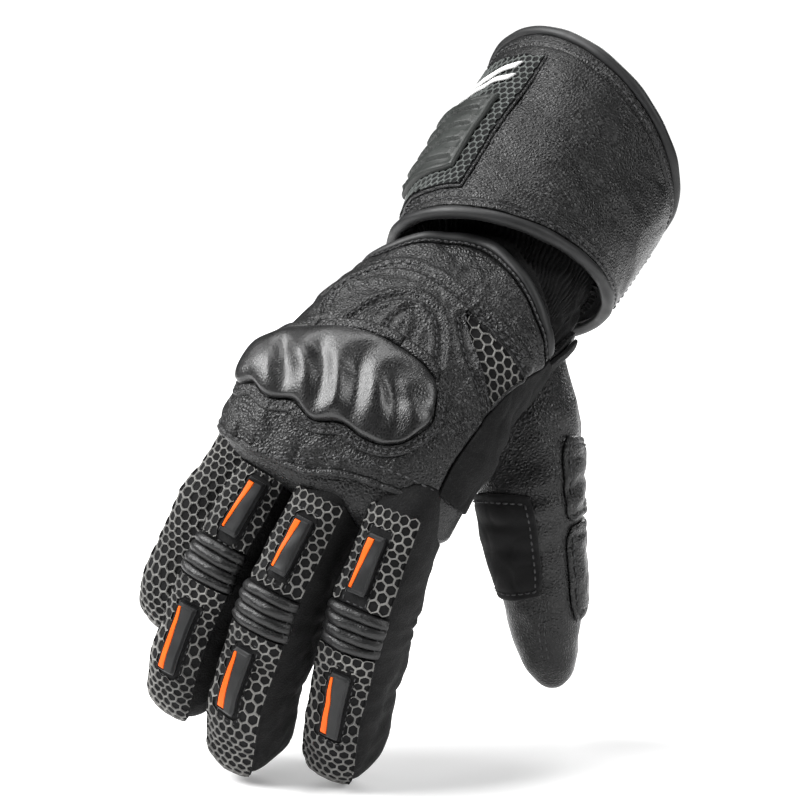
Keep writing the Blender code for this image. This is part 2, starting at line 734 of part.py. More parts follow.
def guard_band(collection):
    """The smooth strip along the guard's upper edge."""
    along, across = lattice(spread(0, 1, 2), spread(0.06, 0.94, 12))
    station, angle = guard_place(np.zeros_like(along), across)
    gap = palm_form.station(EDGE_GAP)
    width = palm_form.station(BAND_WIDTH)
    station = station - gap - width * (1 - along)
    rows = palm_form.at(station, angle, SECOND_LAYER)
    panel("guard_band", rows, SKIN, "black_leather", collection)


BAND_WIDTH = 4.0 * MM


def side_strip(collection, beside):
    """The softshell strip that runs down the thumb side of the hand to the index finger."""
    along, across = lattice(spread(0, 1, 9), spread(0, 1, 7))
    start = rim_of_palm(STRIP_FOOT[0][1] + (STRIP_TOP[0][1] - STRIP_FOOT[0][1]) * across)
    start = start + palm_form.station(2 * MM)
    station = start + (0.905 - start) * along
    first = table(STRIP_FOOT, station)
    last = table(STRIP_TOP, station)
    angle = first + (last - first) * across
    rows = palm_form.at(station, angle, 1.3 * SEWN_GAP)
    strip = panel("side_strip", rows, SKIN, "black_softshell", collection)
    for cutter in beside:
        cut(strip, cutter, cutter.name)


def wrist_roll(collection):
    """The rolled edge of the back panel at the wrist."""
    profile = np.array([0.25, 0.85, 1.0, 0.85, 0.25])
    along, across = lattice(spread(0, 1, len(profile)), spread(0, 1, 16))
    angle = 12 + (BACK_EDGE_ANGLE - 12) * across
    width = palm_form.station(ROLL_WIDTH)
    edge = table(WRIST_LINE, angle) - palm_form.station(EDGE_GAP) - width
    station = edge + width * along
    low = palm_form.at(station, angle, SEWN_GAP)
    high = palm_form.at(station, angle, SEWN_GAP + ROLL_HEIGHT * profile[:, None])
    pad("wrist_piping", low, high, "grey_piping", collection)


def thumb_patch(collection):
    """The suede grip patch on the side of the thumb that faces the fingers."""
    along, across = lattice(spread(0, 1, 7), spread(0, 1, 7))
    bow = 1 - 0.10 * (2 * across - 1) ** 2
    station = 0.63 + 0.165 * (2 * along - 1) * bow
    angle = 226 + 58 * (2 * across - 1) * (1 - 0.12 * (2 * along - 1) ** 4)
    panel("thumb_patch", thumb_form.at(station, angle, SEWN_GAP), SKIN, "black_suede", collection)


# The padded panels along the outer side of the thumb: their name and stations
THUMB_PADS = (("thumb_pad_upper", 0.34, 0.565), ("thumb_pad_lower", 0.58, 0.89))


def thumb_pads(collection):
    for name, first, last in THUMB_PADS:
        along, across = lattice(spread(0, 1, 6), spread(0, 1, 6))
        station = first + (last - first) * along
        angle = 96 + 38 * (2 * across - 1) * (1 - 0.25 * (2 * along - 1) ** 4)
        swell = np.sin(np.pi * along) ** 0.5 * np.sin(np.pi * across) ** 0.5
        height = THUMB_PAD_HEIGHT * (0.4 + 0.6 * swell)
        pad(name, thumb_form.at(station, angle, SEWN_GAP),
            thumb_form.at(station, angle, SEWN_GAP + height), "black_leather", collection)


def wrist_gather(collection):
    """The elastic wrist: a pleated sleeve from inside the palm to its seam inside the cuff."""
    seat = GATHER_SEAT * CUFF_AXIS - [0.0, 0.0, CUFF_DROP]
    mouth = CUFF_START * CUFF_AXIS - [0.0, 0.0, CUFF_DROP / 2]
    middle = PALM_SECTIONS[0].across * PALM_WIDTH
    points = [seat, mouth, in_hand(0, middle, 0), in_hand(GATHER_REACH, middle, 0)]
    backs = [unit(BACK - (BACK @ CUFF_AXIS) * CUFF_AXIS), BACK, BACK, BACK]
    width, depth = GATHER_WIDTH / 2, GATHER_DEPTH / 2
    travel = np.cumsum([0.0] + [np.linalg.norm(b - a) for a, b in zip(points, points[1:])])
    sizes = ((1.15, 1.7, 1.7), (1.06, 1.3, 1.2), (1.0, 0.97, 0.88), (1.0, 0.97, 0.88))
    sections = [Section(share, wide * width, back * depth, palm * depth)
                for share, (wide, back, palm) in zip(travel / travel[-1], sizes)]
    form = Tube(points, backs, sections, 2.2)
    angles = spread(0, 360, PALM_SIDES + 1)[:-1]
    crease = np.arange(PALM_SIDES) % 2
    in_cuff = (GATHER_SEAT - CUFF_START) / CUFF_LENGTH
    rows = [cuff_at(in_cuff, 180 + CUFF_TURN - angles, -CUFF_WALL - SEWN_GAP)]
    rim = rim_of_palm(angles) * (palm_form.length - palm_form.tip)
    first = 0.36
    last = 1 - (GATHER_REACH - rim + 5 * MM) / form.length
    for part in (0.0, 0.45, 0.9):
        rows.append(form.at(first + (last - first) * part, angles, -GATHER_FOLD * crease))
    for overlap in (-3 * MM, GATHER_OVERLAP):
        station = rim_of_palm(angles) + palm_form.station(overlap)
        rows.append(palm_form.at(station, angles, -PALM_WALL - SEWN_GAP))
    shell("wrist_gather", rows, GATHER_WALL, "black_softshell", collection)


def gauntlet_cuff(collection):
    angles = spread(0, 360, CUFF_SIDES + 1)[:-1]
    edge = 2 * PIPING_RADIUS + EDGE_GAP
    rows = [cuff_at(share, angles, 0.0, -edge * share) for share in spread(0, 1, CUFF_ROWS)]
    shell("gauntlet_cuff", rows, CUFF_WALL, "black_leather", collection)
    for name, share, shift in (("cuff_lower_piping", 0.0, -PIPING_RADIUS - EDGE_GAP),
                               ("cuff_upper_piping", 1.0, -PIPING_RADIUS)):
        ring(name, cuff_at(share, angles, -CUFF_WALL / 2, shift), collection)


def ring(name, points, collection):
    """A closed round cord through the points."""
    curve = bpy.data.curves.new(name, "CURVE")
    curve.dimensions = "3D"
    curve.bevel_depth = PIPING_RADIUS
    curve.bevel_resolution = 1
    spline = curve.splines.new("POLY")
    spline.points.add(len(points) - 1)
    for slot, point in zip(spline.points, points):
        slot.co = (*point, 1.0)
    spline.use_cyclic_u = True
    curve.materials.append(FINISHES["grey_piping"])
    collection.objects.link(bpy.data.objects.new(name, curve))


def cuff_badge(collection):
    """The net panel on the cuff, with a ribbed rubber plate and two plain slanted bars on it."""
    along, across = lattice(spread(0, 1, 6), spread(0, 1, 8))
    share = 0.10 + 0.72 * along
    angle = 62 + 64 * across + 6 * (along - 0.5)
    panel("cuff_net", cuff_at(share, angle, SEWN_GAP), NET, "grey_net", collection)
    base = NET_TOP + SEWN_GAP
    along, across = lattice(spread(0, 1, 9), spread(0, 1, 6))
    share = 0.17 + 0.38 * along + 0.04 * (across - 0.5)
    angle = 74 + 42 * across + 4 * (along - 0.5)
    rib = np.arange(9)[:, None] % 2 * np.ones_like(across)
    rib[:, [0, -1]] = 0
    height = RIB_PLATE_EDGE + (RIB_PLATE_HEIGHT - RIB_PLATE_EDGE) * rib
    pad("cuff_rib_plate", cuff_at(share, angle, base), cuff_at(share, angle, base + height),
        "grey_rubber", collection)
    for name, middle in (("cuff_bar_upper", 0.725), ("cuff_bar_lower", 0.655)):
        along, across = lattice(spread(0, 1, 2), spread(0, 1, 6))
        share = middle + 0.032 * (along - 0.5) + 0.06 * (across - 0.5)
        angle = 84 + 34 * across
        panel(name, cuff_at(share, angle, base), BAR_HEIGHT, "white_print", collection)


def wrist_tab(collection):
    """The short end of the wrist strap, on the palm side of the wrist."""
    along, across = lattice(spread(0, 1, 3), spread(0, 1, 4))
    station = 0.07 + palm_form.station(TAB_WIDTH) * along
    angle = -100 + math.degrees(2 * TAB_LENGTH / PALM_WIDTH) * across
    panel("wrist_tab", palm_form.at(station, angle, SEWN_GAP), TAB_THICKNESS, "black_softshell",
          collection)


palm_form = palm_tube()
thumb_form = thumb_tube()
finger_forms = [(finger, finger_tube(finger)) for finger in FINGERS]


def build():
    for obj in list(bpy.data.objects):
        bpy.data.objects.remove(obj, do_unlink=True)
    scene = bpy.context.scene
    glove = bpy.data.collections.new("gauntlet_glove")
    cutters = bpy.data.collections.new("glove_cutters")
    scene.collection.children.link(glove)
    scene.collection.children.link(cutters)
    make_finishes()
    outside = palm_body(glove, cutters)
    for finger, form in finger_forms:
        hollow_tube(f"{finger.name}_body", form, finger.root, anchor_of(finger), outside,
                    "black_softshell", glove)
        finger_skins(finger, form, glove)
    hollow_tube("thumb_body", thumb_form, 0.0, THUMB_ANCHOR, outside, "black_leather", glove)
    beside = [tube_solid("thumb_outside", thumb_form, 0.0, THUMB_ANCHOR, EDGE_GAP, cutters)]
    finger, form = finger_forms[0]
    beside.append(tube_solid("index_outside", form, finger.root, anchor_of(finger), EDGE_GAP,
                             cutters))
    back_panel(glove, cutters, beside[1:])
    knuckle_guard(glove)
    guard_band(glove)
    side_strip(glove, beside)
    wrist_roll(glove)
    thumb_patch(glove)
    thumb_pads(glove)
    wrist_gather(glove)
    gauntlet_cuff(glove)
    cuff_badge(glove)
    wrist_tab(glove)


build()
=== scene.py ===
"""The looks of a right-hand touring glove with a gauntlet cuff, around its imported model.

Metres, +Z up. The origin is the middle of the wrist, the fingers point to -Y and down, the thumb
is on the +X side, and the cuff rises to +Y. Every piece lies on the same measured forms as the
solid that it replaces.
"""

import math
from collections import namedtuple

import bpy
import numpy as np
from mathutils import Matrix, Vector


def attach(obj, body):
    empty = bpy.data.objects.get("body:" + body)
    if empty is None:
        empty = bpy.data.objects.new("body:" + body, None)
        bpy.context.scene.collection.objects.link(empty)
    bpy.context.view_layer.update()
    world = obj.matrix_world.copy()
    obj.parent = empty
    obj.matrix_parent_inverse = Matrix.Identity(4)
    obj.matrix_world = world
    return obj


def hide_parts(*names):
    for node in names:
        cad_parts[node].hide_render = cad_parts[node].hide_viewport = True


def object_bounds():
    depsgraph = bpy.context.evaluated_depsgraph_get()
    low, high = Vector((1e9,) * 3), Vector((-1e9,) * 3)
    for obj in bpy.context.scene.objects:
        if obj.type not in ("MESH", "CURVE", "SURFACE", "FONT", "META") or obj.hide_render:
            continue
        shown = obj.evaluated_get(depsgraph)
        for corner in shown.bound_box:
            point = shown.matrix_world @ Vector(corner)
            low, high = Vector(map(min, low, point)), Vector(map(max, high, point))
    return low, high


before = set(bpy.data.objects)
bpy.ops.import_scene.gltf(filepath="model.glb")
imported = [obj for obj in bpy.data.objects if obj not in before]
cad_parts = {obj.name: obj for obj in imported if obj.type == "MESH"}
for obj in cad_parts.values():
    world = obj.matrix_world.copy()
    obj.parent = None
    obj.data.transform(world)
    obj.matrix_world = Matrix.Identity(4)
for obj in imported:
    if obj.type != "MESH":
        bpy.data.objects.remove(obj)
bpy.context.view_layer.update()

MM = 0.001

# How the hand leans: its direction dips below level, and its back turns to the thumb side
HAND_DIP = 35.0
HAND_ROLL = 23.5
CUFF_RISE = 37.5
CUFF_HEADING = 11.0
CUFF_TURN = 53.0

# The hand part
PALM_LENGTH = 88 * MM
PALM_WIDTH = 93 * MM
PALM_DEPTH = 41 * MM
PALM_TIP = 11 * MM
FINGER_LENGTH = 111.5 * MM
FINGER_WIDTH = 25 * MM
FINGER_DEPTH = 31 * MM
FINGER_TIP = 12.5 * MM
THUMB_LENGTH = 116 * MM
THUMB_WIDTH = 34 * MM
THUMB_DEPTH = 36 * MM
THUMB_TIP = 13 * MM

# The gathered wrist and the cuff
GATHER_WIDTH = 63 * MM
GATHER_DEPTH = 42 * MM
GATHER_REACH = 30 * MM
GATHER_SEAT = 30 * MM
GATHER_OVERLAP = 7 * MM
CUFF_START = 8 * MM
CUFF_DROP = 4.4 * MM
CUFF_LENGTH = 69 * MM
CUFF_WIDTH = 77 * MM
CUFF_DEPTH = 76.5 * MM
CUFF_FLARE = 1.08
PIPING_RADIUS = 2.1 * MM

# Walls, skins and the clearances between them
PALM_WALL = 2.0 * MM
FINGER_WALL = 1.8 * MM
GATHER_WALL = 1.2 * MM
CUFF_WALL = 2.4 * MM
SKIN = 1.2 * MM
NET = 1.0 * MM
SEWN_GAP = 0.55 * MM
EDGE_GAP = 0.4 * MM

# Pads, ribs and inserts on the skins
GUARD_EDGE = 1.4 * MM
GUARD_HEIGHT = 6.5 * MM
FLEX_RIBS = 4
FLEX_LENGTH = 10.5 * MM
FLEX_EDGE = 0.9 * MM
FLEX_HEIGHT = 2.4 * MM
INSERT_LENGTH = 19.5 * MM
INSERT_WIDTH = 8.2 * MM
INSERT_HEIGHT = 2.0 * MM
INSERT_EDGE = 0.7 * MM
STRIPE_DEPTH = 0.9 * MM
ROLL_WIDTH = 5.0 * MM
ROLL_HEIGHT = 2.2 * MM
THUMB_PAD_HEIGHT = 1.8 * MM
TAB_LENGTH = 12 * MM
TAB_WIDTH = 9 * MM
TAB_THICKNESS = 2.0 * MM
RIB_PLATE_HEIGHT = 2.4 * MM
RIB_PLATE_EDGE = 1.0 * MM
BAR_HEIGHT = 0.8 * MM


def unit(vectors):
    vectors = np.asarray(vectors, float)
    return vectors / np.linalg.norm(vectors, axis=-1, keepdims=True)


def grids(*values):
    """The values as arrays of one common shape."""
    return np.broadcast_arrays(*(np.asarray(value, float) for value in values))


def travel_of(points):
    """The length along a line of points up to each of them."""
    return np.cumsum([0.0] + [np.linalg.norm(b - a) for a, b in zip(points, points[1:])])


def turned(vector, axis, degrees):
    """The vector turned about the axis by the right-hand rule."""
    angle = math.radians(degrees)
    axis = unit(axis)
    vector = np.asarray(vector, float)
    along = axis * (axis @ vector) * (1 - math.cos(angle))
    return vector * math.cos(angle) + np.cross(axis, vector) * math.sin(angle) + along


def dipped(degrees, ahead, back):
    """The direction that turns from ahead towards the palm by so many degrees, and its back."""
    angle = math.radians(degrees)
    along = math.cos(angle) * ahead - math.sin(angle) * back
    return along, math.cos(angle) * back + math.sin(angle) * ahead


DISTAL, _level_back = dipped(HAND_DIP, np.array([0.0, -1.0, 0.0]), np.array([0.0, 0.0, 1.0]))
BACK = turned(_level_back, DISTAL, -HAND_ROLL)
RADIAL = np.cross(BACK, DISTAL)


def in_hand(distal, radial, back):
    return distal * DISTAL + radial * RADIAL + back * BACK


def smooth(knots, values, place):
    """Values on a smooth curve through the rows of a table."""
    knots = np.asarray(knots, float)
    values = np.asarray(values, float)
    place = np.clip(np.asarray(place, float), knots[0], knots[-1])
    slopes = np.gradient(values, knots, axis=0)
    row = np.clip(np.searchsorted(knots, place, side="right") - 1, 0, len(knots) - 2)
    step = knots[row + 1] - knots[row]
    t = (place - knots[row]) / step
    if values.ndim > 1:
        t = t[..., None]
        step = step[..., None]
    start = (2 * t**3 - 3 * t**2 + 1) * values[row] + (t**3 - 2 * t**2 + t) * step * slopes[row]
    end = (3 * t**2 - 2 * t**3) * values[row + 1] + (t**3 - t**2) * step * slopes[row + 1]
    return start + end


Section = namedtuple("Section", "share half_width back palm")


class Tube:
    """A soft tube of flattened round sections on a smooth spine.

    A station runs from 0 at the open end to 1, and with a tip from there to 2 over the round end.
    An angle is 0 on the thumb side, 90 on the back, 180 on the little finger's side and 270 on
    the palm.
    """

    def __init__(self, points, backs, sections, power, tip=0.0):
        self.points = np.array(points, float)
        steps = np.linalg.norm(np.diff(self.points, axis=0), axis=1)
        self.knots = np.concatenate([[0.0], np.cumsum(steps)])
        self.length = self.knots[-1]
        self.backs = np.array(backs, float)
        self.sections = np.array(sections, float)
        self.power = power
        self.tip = tip

    def spine(self, travel):
        return smooth(self.knots, self.points, travel)

    def station(self, travel):
        """The station at a length along the spine, short of the tip."""
        return travel / (self.length - self.tip)

    def skin(self, stations, angles):
        over = np.radians(90 * np.clip(stations - 1, 0, 1))
        travel = np.minimum(stations, 1) * (self.length - self.tip) + self.tip * np.sin(over)
        ahead = self.direction(travel)
        back = smooth(self.knots, self.backs, travel)
        back = unit(back - np.sum(back * ahead, axis=-1, keepdims=True) * ahead)
        sizes = smooth(self.sections[:, 0], self.sections[:, 1:], travel / self.length)
        cos, sin = np.cos(np.radians(angles)), np.sin(np.radians(angles))
        grow = (np.abs(cos) ** self.power + np.abs(sin) ** self.power) ** (-1 / self.power)
        depth = np.where(sin >= 0, sizes[..., 1], sizes[..., 2])
        across = (np.cos(over) * grow * sizes[..., 0] * cos)[..., None] * np.cross(back, ahead)
        return self.spine(travel) + across + (np.cos(over) * grow * depth * sin)[..., None] * back

    def direction(self, travel):
        nudge = 0.01 * self.length
        low = np.clip(travel - nudge, 0, self.length)
        high = np.clip(travel + nudge, 0, self.length)
        return unit(self.spine(high) - self.spine(low))

    def at(self, stations, angles, lift=0.0):
        """Points of the outer surface, lifted off it."""
        stations, angles, lift = grids(stations, angles, lift)
        nudge = 0.002
        last = 2.0 if self.tip else 1.0
        along = self.skin(np.minimum(stations + nudge, last), angles)
        along = along - self.skin(np.maximum(stations - nudge, 0), angles)
        round_step = self.skin(np.minimum(stations, last - 1e-4), angles + 1)
        round_step = round_step - self.skin(np.minimum(stations, last - 1e-4), angles - 1)
        outward = unit(np.cross(round_step, along))
        return self.skin(stations, angles) + lift[..., None] * outward


# The palm: shares of its length, width, depth, half width and half depth
Palm = namedtuple("Palm", "along across rise dip roll width back palm")
PALM_SECTIONS = (
    Palm(0.00, 0.018, 0.000, 0, 0, 0.76, 1.10, 1.05),
    Palm(0.27, 0.018, 0.020, 0, -2, 0.76, 1.10, 1.10),
    Palm(0.54, 0.008, 0.030, 2, -4, 0.82, 1.07, 1.07),
    Palm(0.79, 0.012, 0.005, 8, -8, 0.88, 1.01, 0.93),
    Palm(0.98, 0.018, -0.065, 22, -12, 0.895, 0.96, 0.83),
    Palm(1.17, 0.012, -0.340, 36, -15, 0.89, 0.88, 0.76),
)


def palm_tube():
    points, backs, sections = [], [], []
    for row in PALM_SECTIONS:
        points.append(
            in_hand(row.along * PALM_LENGTH, row.across * PALM_WIDTH, row.rise * PALM_DEPTH)
        )
        back = turned(BACK, DISTAL, row.roll)
        backs.append(dipped(row.dip, DISTAL, back)[1])
    travel = travel_of(points)
    for row, share in zip(PALM_SECTIONS, travel / travel[-1]):
        half_width = row.width * PALM_WIDTH / 2
        half_depth = PALM_DEPTH / 2
        sections.append(Section(share, half_width, row.back * half_depth, row.palm * half_depth))
    return Tube(points, backs, sections, 2.3, PALM_TIP)


# The fingers: where the knuckle lies, how the finger spreads and bends, and its size
Finger = namedtuple("Finger", "name along across rise spread length width bends root net inserts")
FINGERS = (
    Finger("index", 0.953, 0.317, 0.05, 5.5, 0.950, 1.00, (38, 17, 12), 0.03, 0.16, True),
    Finger("middle", 1.015, 0.075, 0.01, 0.0, 1.000, 1.00, (33, 17, 17), 0.03, 0.17, True),
    Finger("ring", 0.976, -0.170, -0.07, -2.3, 0.940, 0.96, (29, 16, 15), 0.03, 0.225, True),
    Finger("little", 0.890, -0.375, -0.34, -7.5, 0.745, 0.88, (34, 9, 12), 0.02, 0.24, False),
)
BONES = (0.465, 0.265, 0.270)
FINGER_SECTIONS = (
    Section(0.00, 0.66, 0.50, 0.70),
    Section(0.12, 0.86, 0.90, 0.90),
    Section(0.24, 0.90, 0.95, 0.95),
    Section(0.46, 1.00, 1.00, 1.02),
    Section(0.72, 0.97, 0.97, 0.96),
    Section(1.00, 0.90, 0.88, 0.86),
)


def finger_tube(finger):
    ahead = turned(DISTAL, BACK, finger.spread)
    point = in_hand(
        finger.along * PALM_LENGTH, finger.across * PALM_WIDTH, finger.rise * PALM_DEPTH
    )
    points = [point]
    tilts = [0.8 * finger.bends[0]]
    bent = 0
    for bone, bend in zip(BONES, finger.bends):
        bent += bend
        reach = bone * finger.length * FINGER_LENGTH * dipped(bent, ahead, BACK)[0]
        points += [point + reach / 2, point + reach]
        tilts += [bent, bent + bend / 2]
        point = point + reach
    tilts[-1] = bent
    backs = [dipped(tilt, ahead, BACK)[1] for tilt in tilts]
    half_width = finger.width * FINGER_WIDTH / 2
    half_depth = finger.width * FINGER_DEPTH / 2
    sections = [
        Section(row.share, row.half_width * half_width, row.back * half_depth,
                row.palm * half_depth)
        for row in FINGER_SECTIONS
    ]
    return Tube(points, backs, sections, 2.8, FINGER_TIP)


# The thumb: points of its spine as shares of its length, towards fingertips, thumb side and back
Thumb = namedtuple("Thumb", "distal radial back half_width out inside")
THUMB_SECTIONS = (
    Thumb(0.075, 0.175, -0.105, 0.58, 0.58, 0.58),
    Thumb(0.21, 0.225, -0.21, 1.02, 1.04, 1.00),
    Thumb(0.365, 0.35, -0.345, 0.94, 0.93, 0.98),
    Thumb(0.51, 0.47, -0.565, 0.82, 0.77, 0.80),
    Thumb(0.61, 0.56, -0.735, 0.66, 0.58, 0.60),
    Thumb(0.665, 0.605, -0.83, 0.54, 0.44, 0.44),
)
THUMB_BACK = unit(in_hand(-0.49, 0.86, 0.11))
THUMB_ANCHOR = in_hand(0.12 * PALM_LENGTH, 0.14 * PALM_WIDTH, -0.15 * PALM_DEPTH)


def thumb_tube():
    points = [
        in_hand(row.distal * THUMB_LENGTH, row.radial * THUMB_LENGTH, row.back * THUMB_LENGTH)
        for row in THUMB_SECTIONS
    ]
    travel = travel_of(points)
    sections = [
        Section(share, row.half_width * THUMB_WIDTH / 2, row.out * THUMB_DEPTH / 2,
                row.inside * THUMB_DEPTH / 2)
        for row, share in zip(THUMB_SECTIONS, travel / travel[-1])
    ]
    return Tube(points, [THUMB_BACK] * len(points), sections, 2.3, THUMB_TIP)


# The cuff's axis, and the side where its mesh panel lies
_level = turned(np.array([0.0, 1.0, 0.0]), np.array([0.0, 0.0, 1.0]), CUFF_HEADING)
CUFF_AXIS = math.cos(math.radians(CUFF_RISE)) * _level + np.array(
    [0.0, 0.0, math.sin(math.radians(CUFF_RISE))]
)
CUFF_FRONT = turned(unit(BACK - (BACK @ CUFF_AXIS) * CUFF_AXIS), CUFF_AXIS, -CUFF_TURN)
CUFF_SIDE = np.cross(CUFF_AXIS, CUFF_FRONT)


def cuff_at(share, angle, lift=0.0, shift=0.0):
    """A point of the cuff, from its lower rim at 0 to its upper one at 1; the panel is at 90."""
    share, angle, lift, shift = np.broadcast_arrays(share, angle, lift, shift)
    cos, sin = np.cos(np.radians(angle)), np.sin(np.radians(angle))
    low = CUFF_START + CUFF_LENGTH * (0.05 * cos - 0.13 * sin)
    high = CUFF_START + CUFF_LENGTH * (1 + 0.05 * cos + 0.19 * sin)
    flare = 1 + (CUFF_FLARE - 1) * share
    wide = flare * CUFF_WIDTH / 2 + lift
    deep = flare * CUFF_DEPTH / 2 + lift
    along = (low + (high - low) * share + shift)[..., None] * CUFF_AXIS - [0.0, 0.0, CUFF_DROP]
    return along + (wide * cos)[..., None] * -CUFF_SIDE + (deep * sin)[..., None] * CUFF_FRONT


# Station and angle of the far end of a form with a round tip
POLE = (2.0, 90.0)


def round_angles(count):
    """The angles of so many points round a form."""
    return np.linspace(0, 360, count + 1)[:-1]


def table(rows, place_at):
    """A smooth curve through a table of pairs."""
    return smooth([row[0] for row in rows], [row[1] for row in rows], place_at)


def lattice(along, across):
    """Grids of two shares, one down the rows and one across the columns."""
    return np.meshgrid(np.asarray(along, float), np.asarray(across, float), indexing="ij")


# Lines on the palm's surface: pairs of an angle and a station
WRIST_LINE = ((5, 0.29), (38, 0.225), (62, 0.165), (88, 0.125), (112, 0.175), (140, 0.270),
              (170, 0.32))
FINGER_LINE = ((20, 0.93), (36, 0.93), (60, 0.94), (85, 0.965), (105, 1.02), (130, 1.08),
               (170, 1.02))
# Pairs of a station and an angle: the softshell strip's upper and lower edge
STRIP_TOP = ((0.08, 6), (0.27, 9), (0.39, 20), (0.53, 28), (0.67, 34), (0.80, 38), (1.00, 36))
STRIP_FOOT = ((0.06, -44), (0.20, -40), (0.34, -24), (0.48, -12), (0.65, -4), (0.82, 4), (1.00, 6))
BACK_EDGE_ANGLE = 166
PALM_RIM = 0.04
BESIDE_STRIP = 0.9
PANEL_TOP = SEWN_GAP + SKIN
SECOND_LAYER = PANEL_TOP + SEWN_GAP
NET_TOP = SEWN_GAP + NET


def rim_of_palm(angle):
    """The station where the palm's shell ends at the wrist: it follows the piping on the back."""
    behind = ROLL_WIDTH + 3 * EDGE_GAP
    angle = (np.asarray(angle, float) + 90) % 360 - 90
    line = table(WRIST_LINE, angle) - palm_form.station(behind)
    on_back = np.clip(np.sin(np.radians(angle)) * 4 + 1, 0, 1)
    return PALM_RIM + (line - PALM_RIM) * on_back


NET_FIRST, NET_LAST = 48, 130
FLEX_FIRST, FLEX_LAST = 44, 134
NET_END = 1.72


def flex_range(form):
    """The stations of the ribbed leather over the middle joint."""
    joint = form.station(BONES[0] * form.length)
    half = form.station(FLEX_LENGTH / 2)
    return joint - half, joint + half


# Where the rubber inserts lie on a finger: station and angle of their middle
Insert = namedtuple("Insert", "finger part station angle wide_end")
INSERTS = (
    Insert("index", "upper", 0.330, 95, 0),
    Insert("index", "lower", 0.765, 84, 1),
    Insert("middle", "upper", 0.325, 88, 0),
    Insert("middle", "lower", 0.740, 92, 1),
    Insert("ring", "upper", 0.335, 80, 0),
    Insert("ring", "lower", 0.785, 88, 1),
)


def insert_place(insert, form, along, across):
    """Stations and angles of shares of the insert: 0 to 1 along it, -1 to 1 across it."""
    station = insert.station + form.station(INSERT_LENGTH) * (along - 0.5)
    degrees = math.degrees(INSERT_WIDTH / FINGER_WIDTH)
    return station, insert.angle + degrees * across


def back_station(along, angle):
    """The station at a share of the way from the wrist line to the finger line."""
    wrist = table(WRIST_LINE, angle)
    return wrist + (table(FINGER_LINE, angle) - wrist) * along


def back_place(along, across):
    """Stations and angles of the back panel: from wrist to fingers, and from the thumb side on."""
    first = np.full_like(along, 20.0)
    for _ in range(4):
        first = table(STRIP_TOP, back_station(along, first)) + BESIDE_STRIP
    angle = first + (BACK_EDGE_ANGLE - first) * across
    return back_station(along, angle), angle


# The hexagon net on the back: angles, and the stations of its two sides
NET_SIDES = ((21.5, 0.388, 0.396), (25.5, 0.388, 0.455), (29.2, 0.387, 0.525),
             (32.0, 0.385, 0.585), (38.0, 0.382, 0.555), (45.0, 0.378, 0.515),
             (58.0, 0.370, 0.445), (70.0, 0.365, 0.385))


# The knuckle guard: angles, and the stations of its upper and lower edge
GUARD_EDGES = ((59, 0.735, 0.775), (63, 0.665, 0.835), (70, 0.632, 0.872), (80, 0.617, 0.885),
               (92, 0.610, 0.880), (104, 0.617, 0.900), (116, 0.636, 0.885), (128, 0.660, 0.900),
               (140, 0.682, 0.885), (152, 0.710, 0.895), (160, 0.750, 0.865), (163, 0.785, 0.820))


def guard_place(along, across):
    angle = GUARD_EDGES[0][0] + (GUARD_EDGES[-1][0] - GUARD_EDGES[0][0]) * across
    top = smooth([row[0] for row in GUARD_EDGES], [row[1] for row in GUARD_EDGES], angle)
    foot = smooth([row[0] for row in GUARD_EDGES], [row[2] for row in GUARD_EDGES], angle)
    return top + (foot - top) * along, angle


BAND_WIDTH = 4.0 * MM

# The padded panels along the outer side of the thumb: their name and stations
THUMB_PADS = (("thumb_pad_upper", 0.34, 0.565), ("thumb_pad_lower", 0.58, 0.89))

palm_form = palm_tube()
thumb_form = thumb_tube()
finger_forms = [(finger, finger_tube(finger)) for finger in FINGERS]


# Deterministic ripples of cloth and leather


# How many waves make up one random field
WAVES = 14


def waves(points, length, seed):
    """A smooth random field over the points, about 1 high, whose waves are about so long."""
    rng = np.random.default_rng(seed)
    total = 0
    for _ in range(WAVES):
        heading = unit(rng.normal(size=3))
        step = 2 * math.pi * rng.uniform(0.75, 1.3) / length
        total = total + np.sin(points @ heading * step + rng.uniform(0, 2 * math.pi))
    return total * math.sqrt(2 / WAVES)


def creases(points, length, seed, width=0.22):
    """Thin valleys along winding lines, from 0 down to -1."""
    return -np.exp(-((waves(points, length, seed) / width) ** 2))


def ramp(low, high, value):
    """0 below low, 1 above high, and smooth between."""
    t = np.clip((np.asarray(value, float) - low) / (high - low), 0, 1)
    return t * t * (3 - 2 * t)


def distance(points, line):
    """The distance of each point to the nearest one of a dense line."""
    flat = points.reshape(-1, 3)
    least = np.full(len(flat), np.inf)
    for start in range(0, len(line), 24):
        gap = flat[:, None] - line[None, start:start + 24]
        least = np.minimum(least, np.sqrt((gap**2).sum(-1)).min(1))
    return least.reshape(points.shape[:-1])


# The forms with their soft relief: each layer on a form follows the same relief


def palm_relief(points, station):
    calm = 1 - 0.7 * ramp(0.85, 1.0, station)
    soft = 0.42 * waves(points, 30 * MM, 11) + 0.16 * waves(points, 11 * MM, 12)
    return MM * calm * np.clip(soft, -0.9, 0.8)


def palm_at(stations, angles, lift=0.0):
    stations, angles, lift = grids(stations, angles, lift)
    relief = palm_relief(palm_form.skin(stations, angles), stations)
    return palm_form.at(stations, angles, lift + relief)


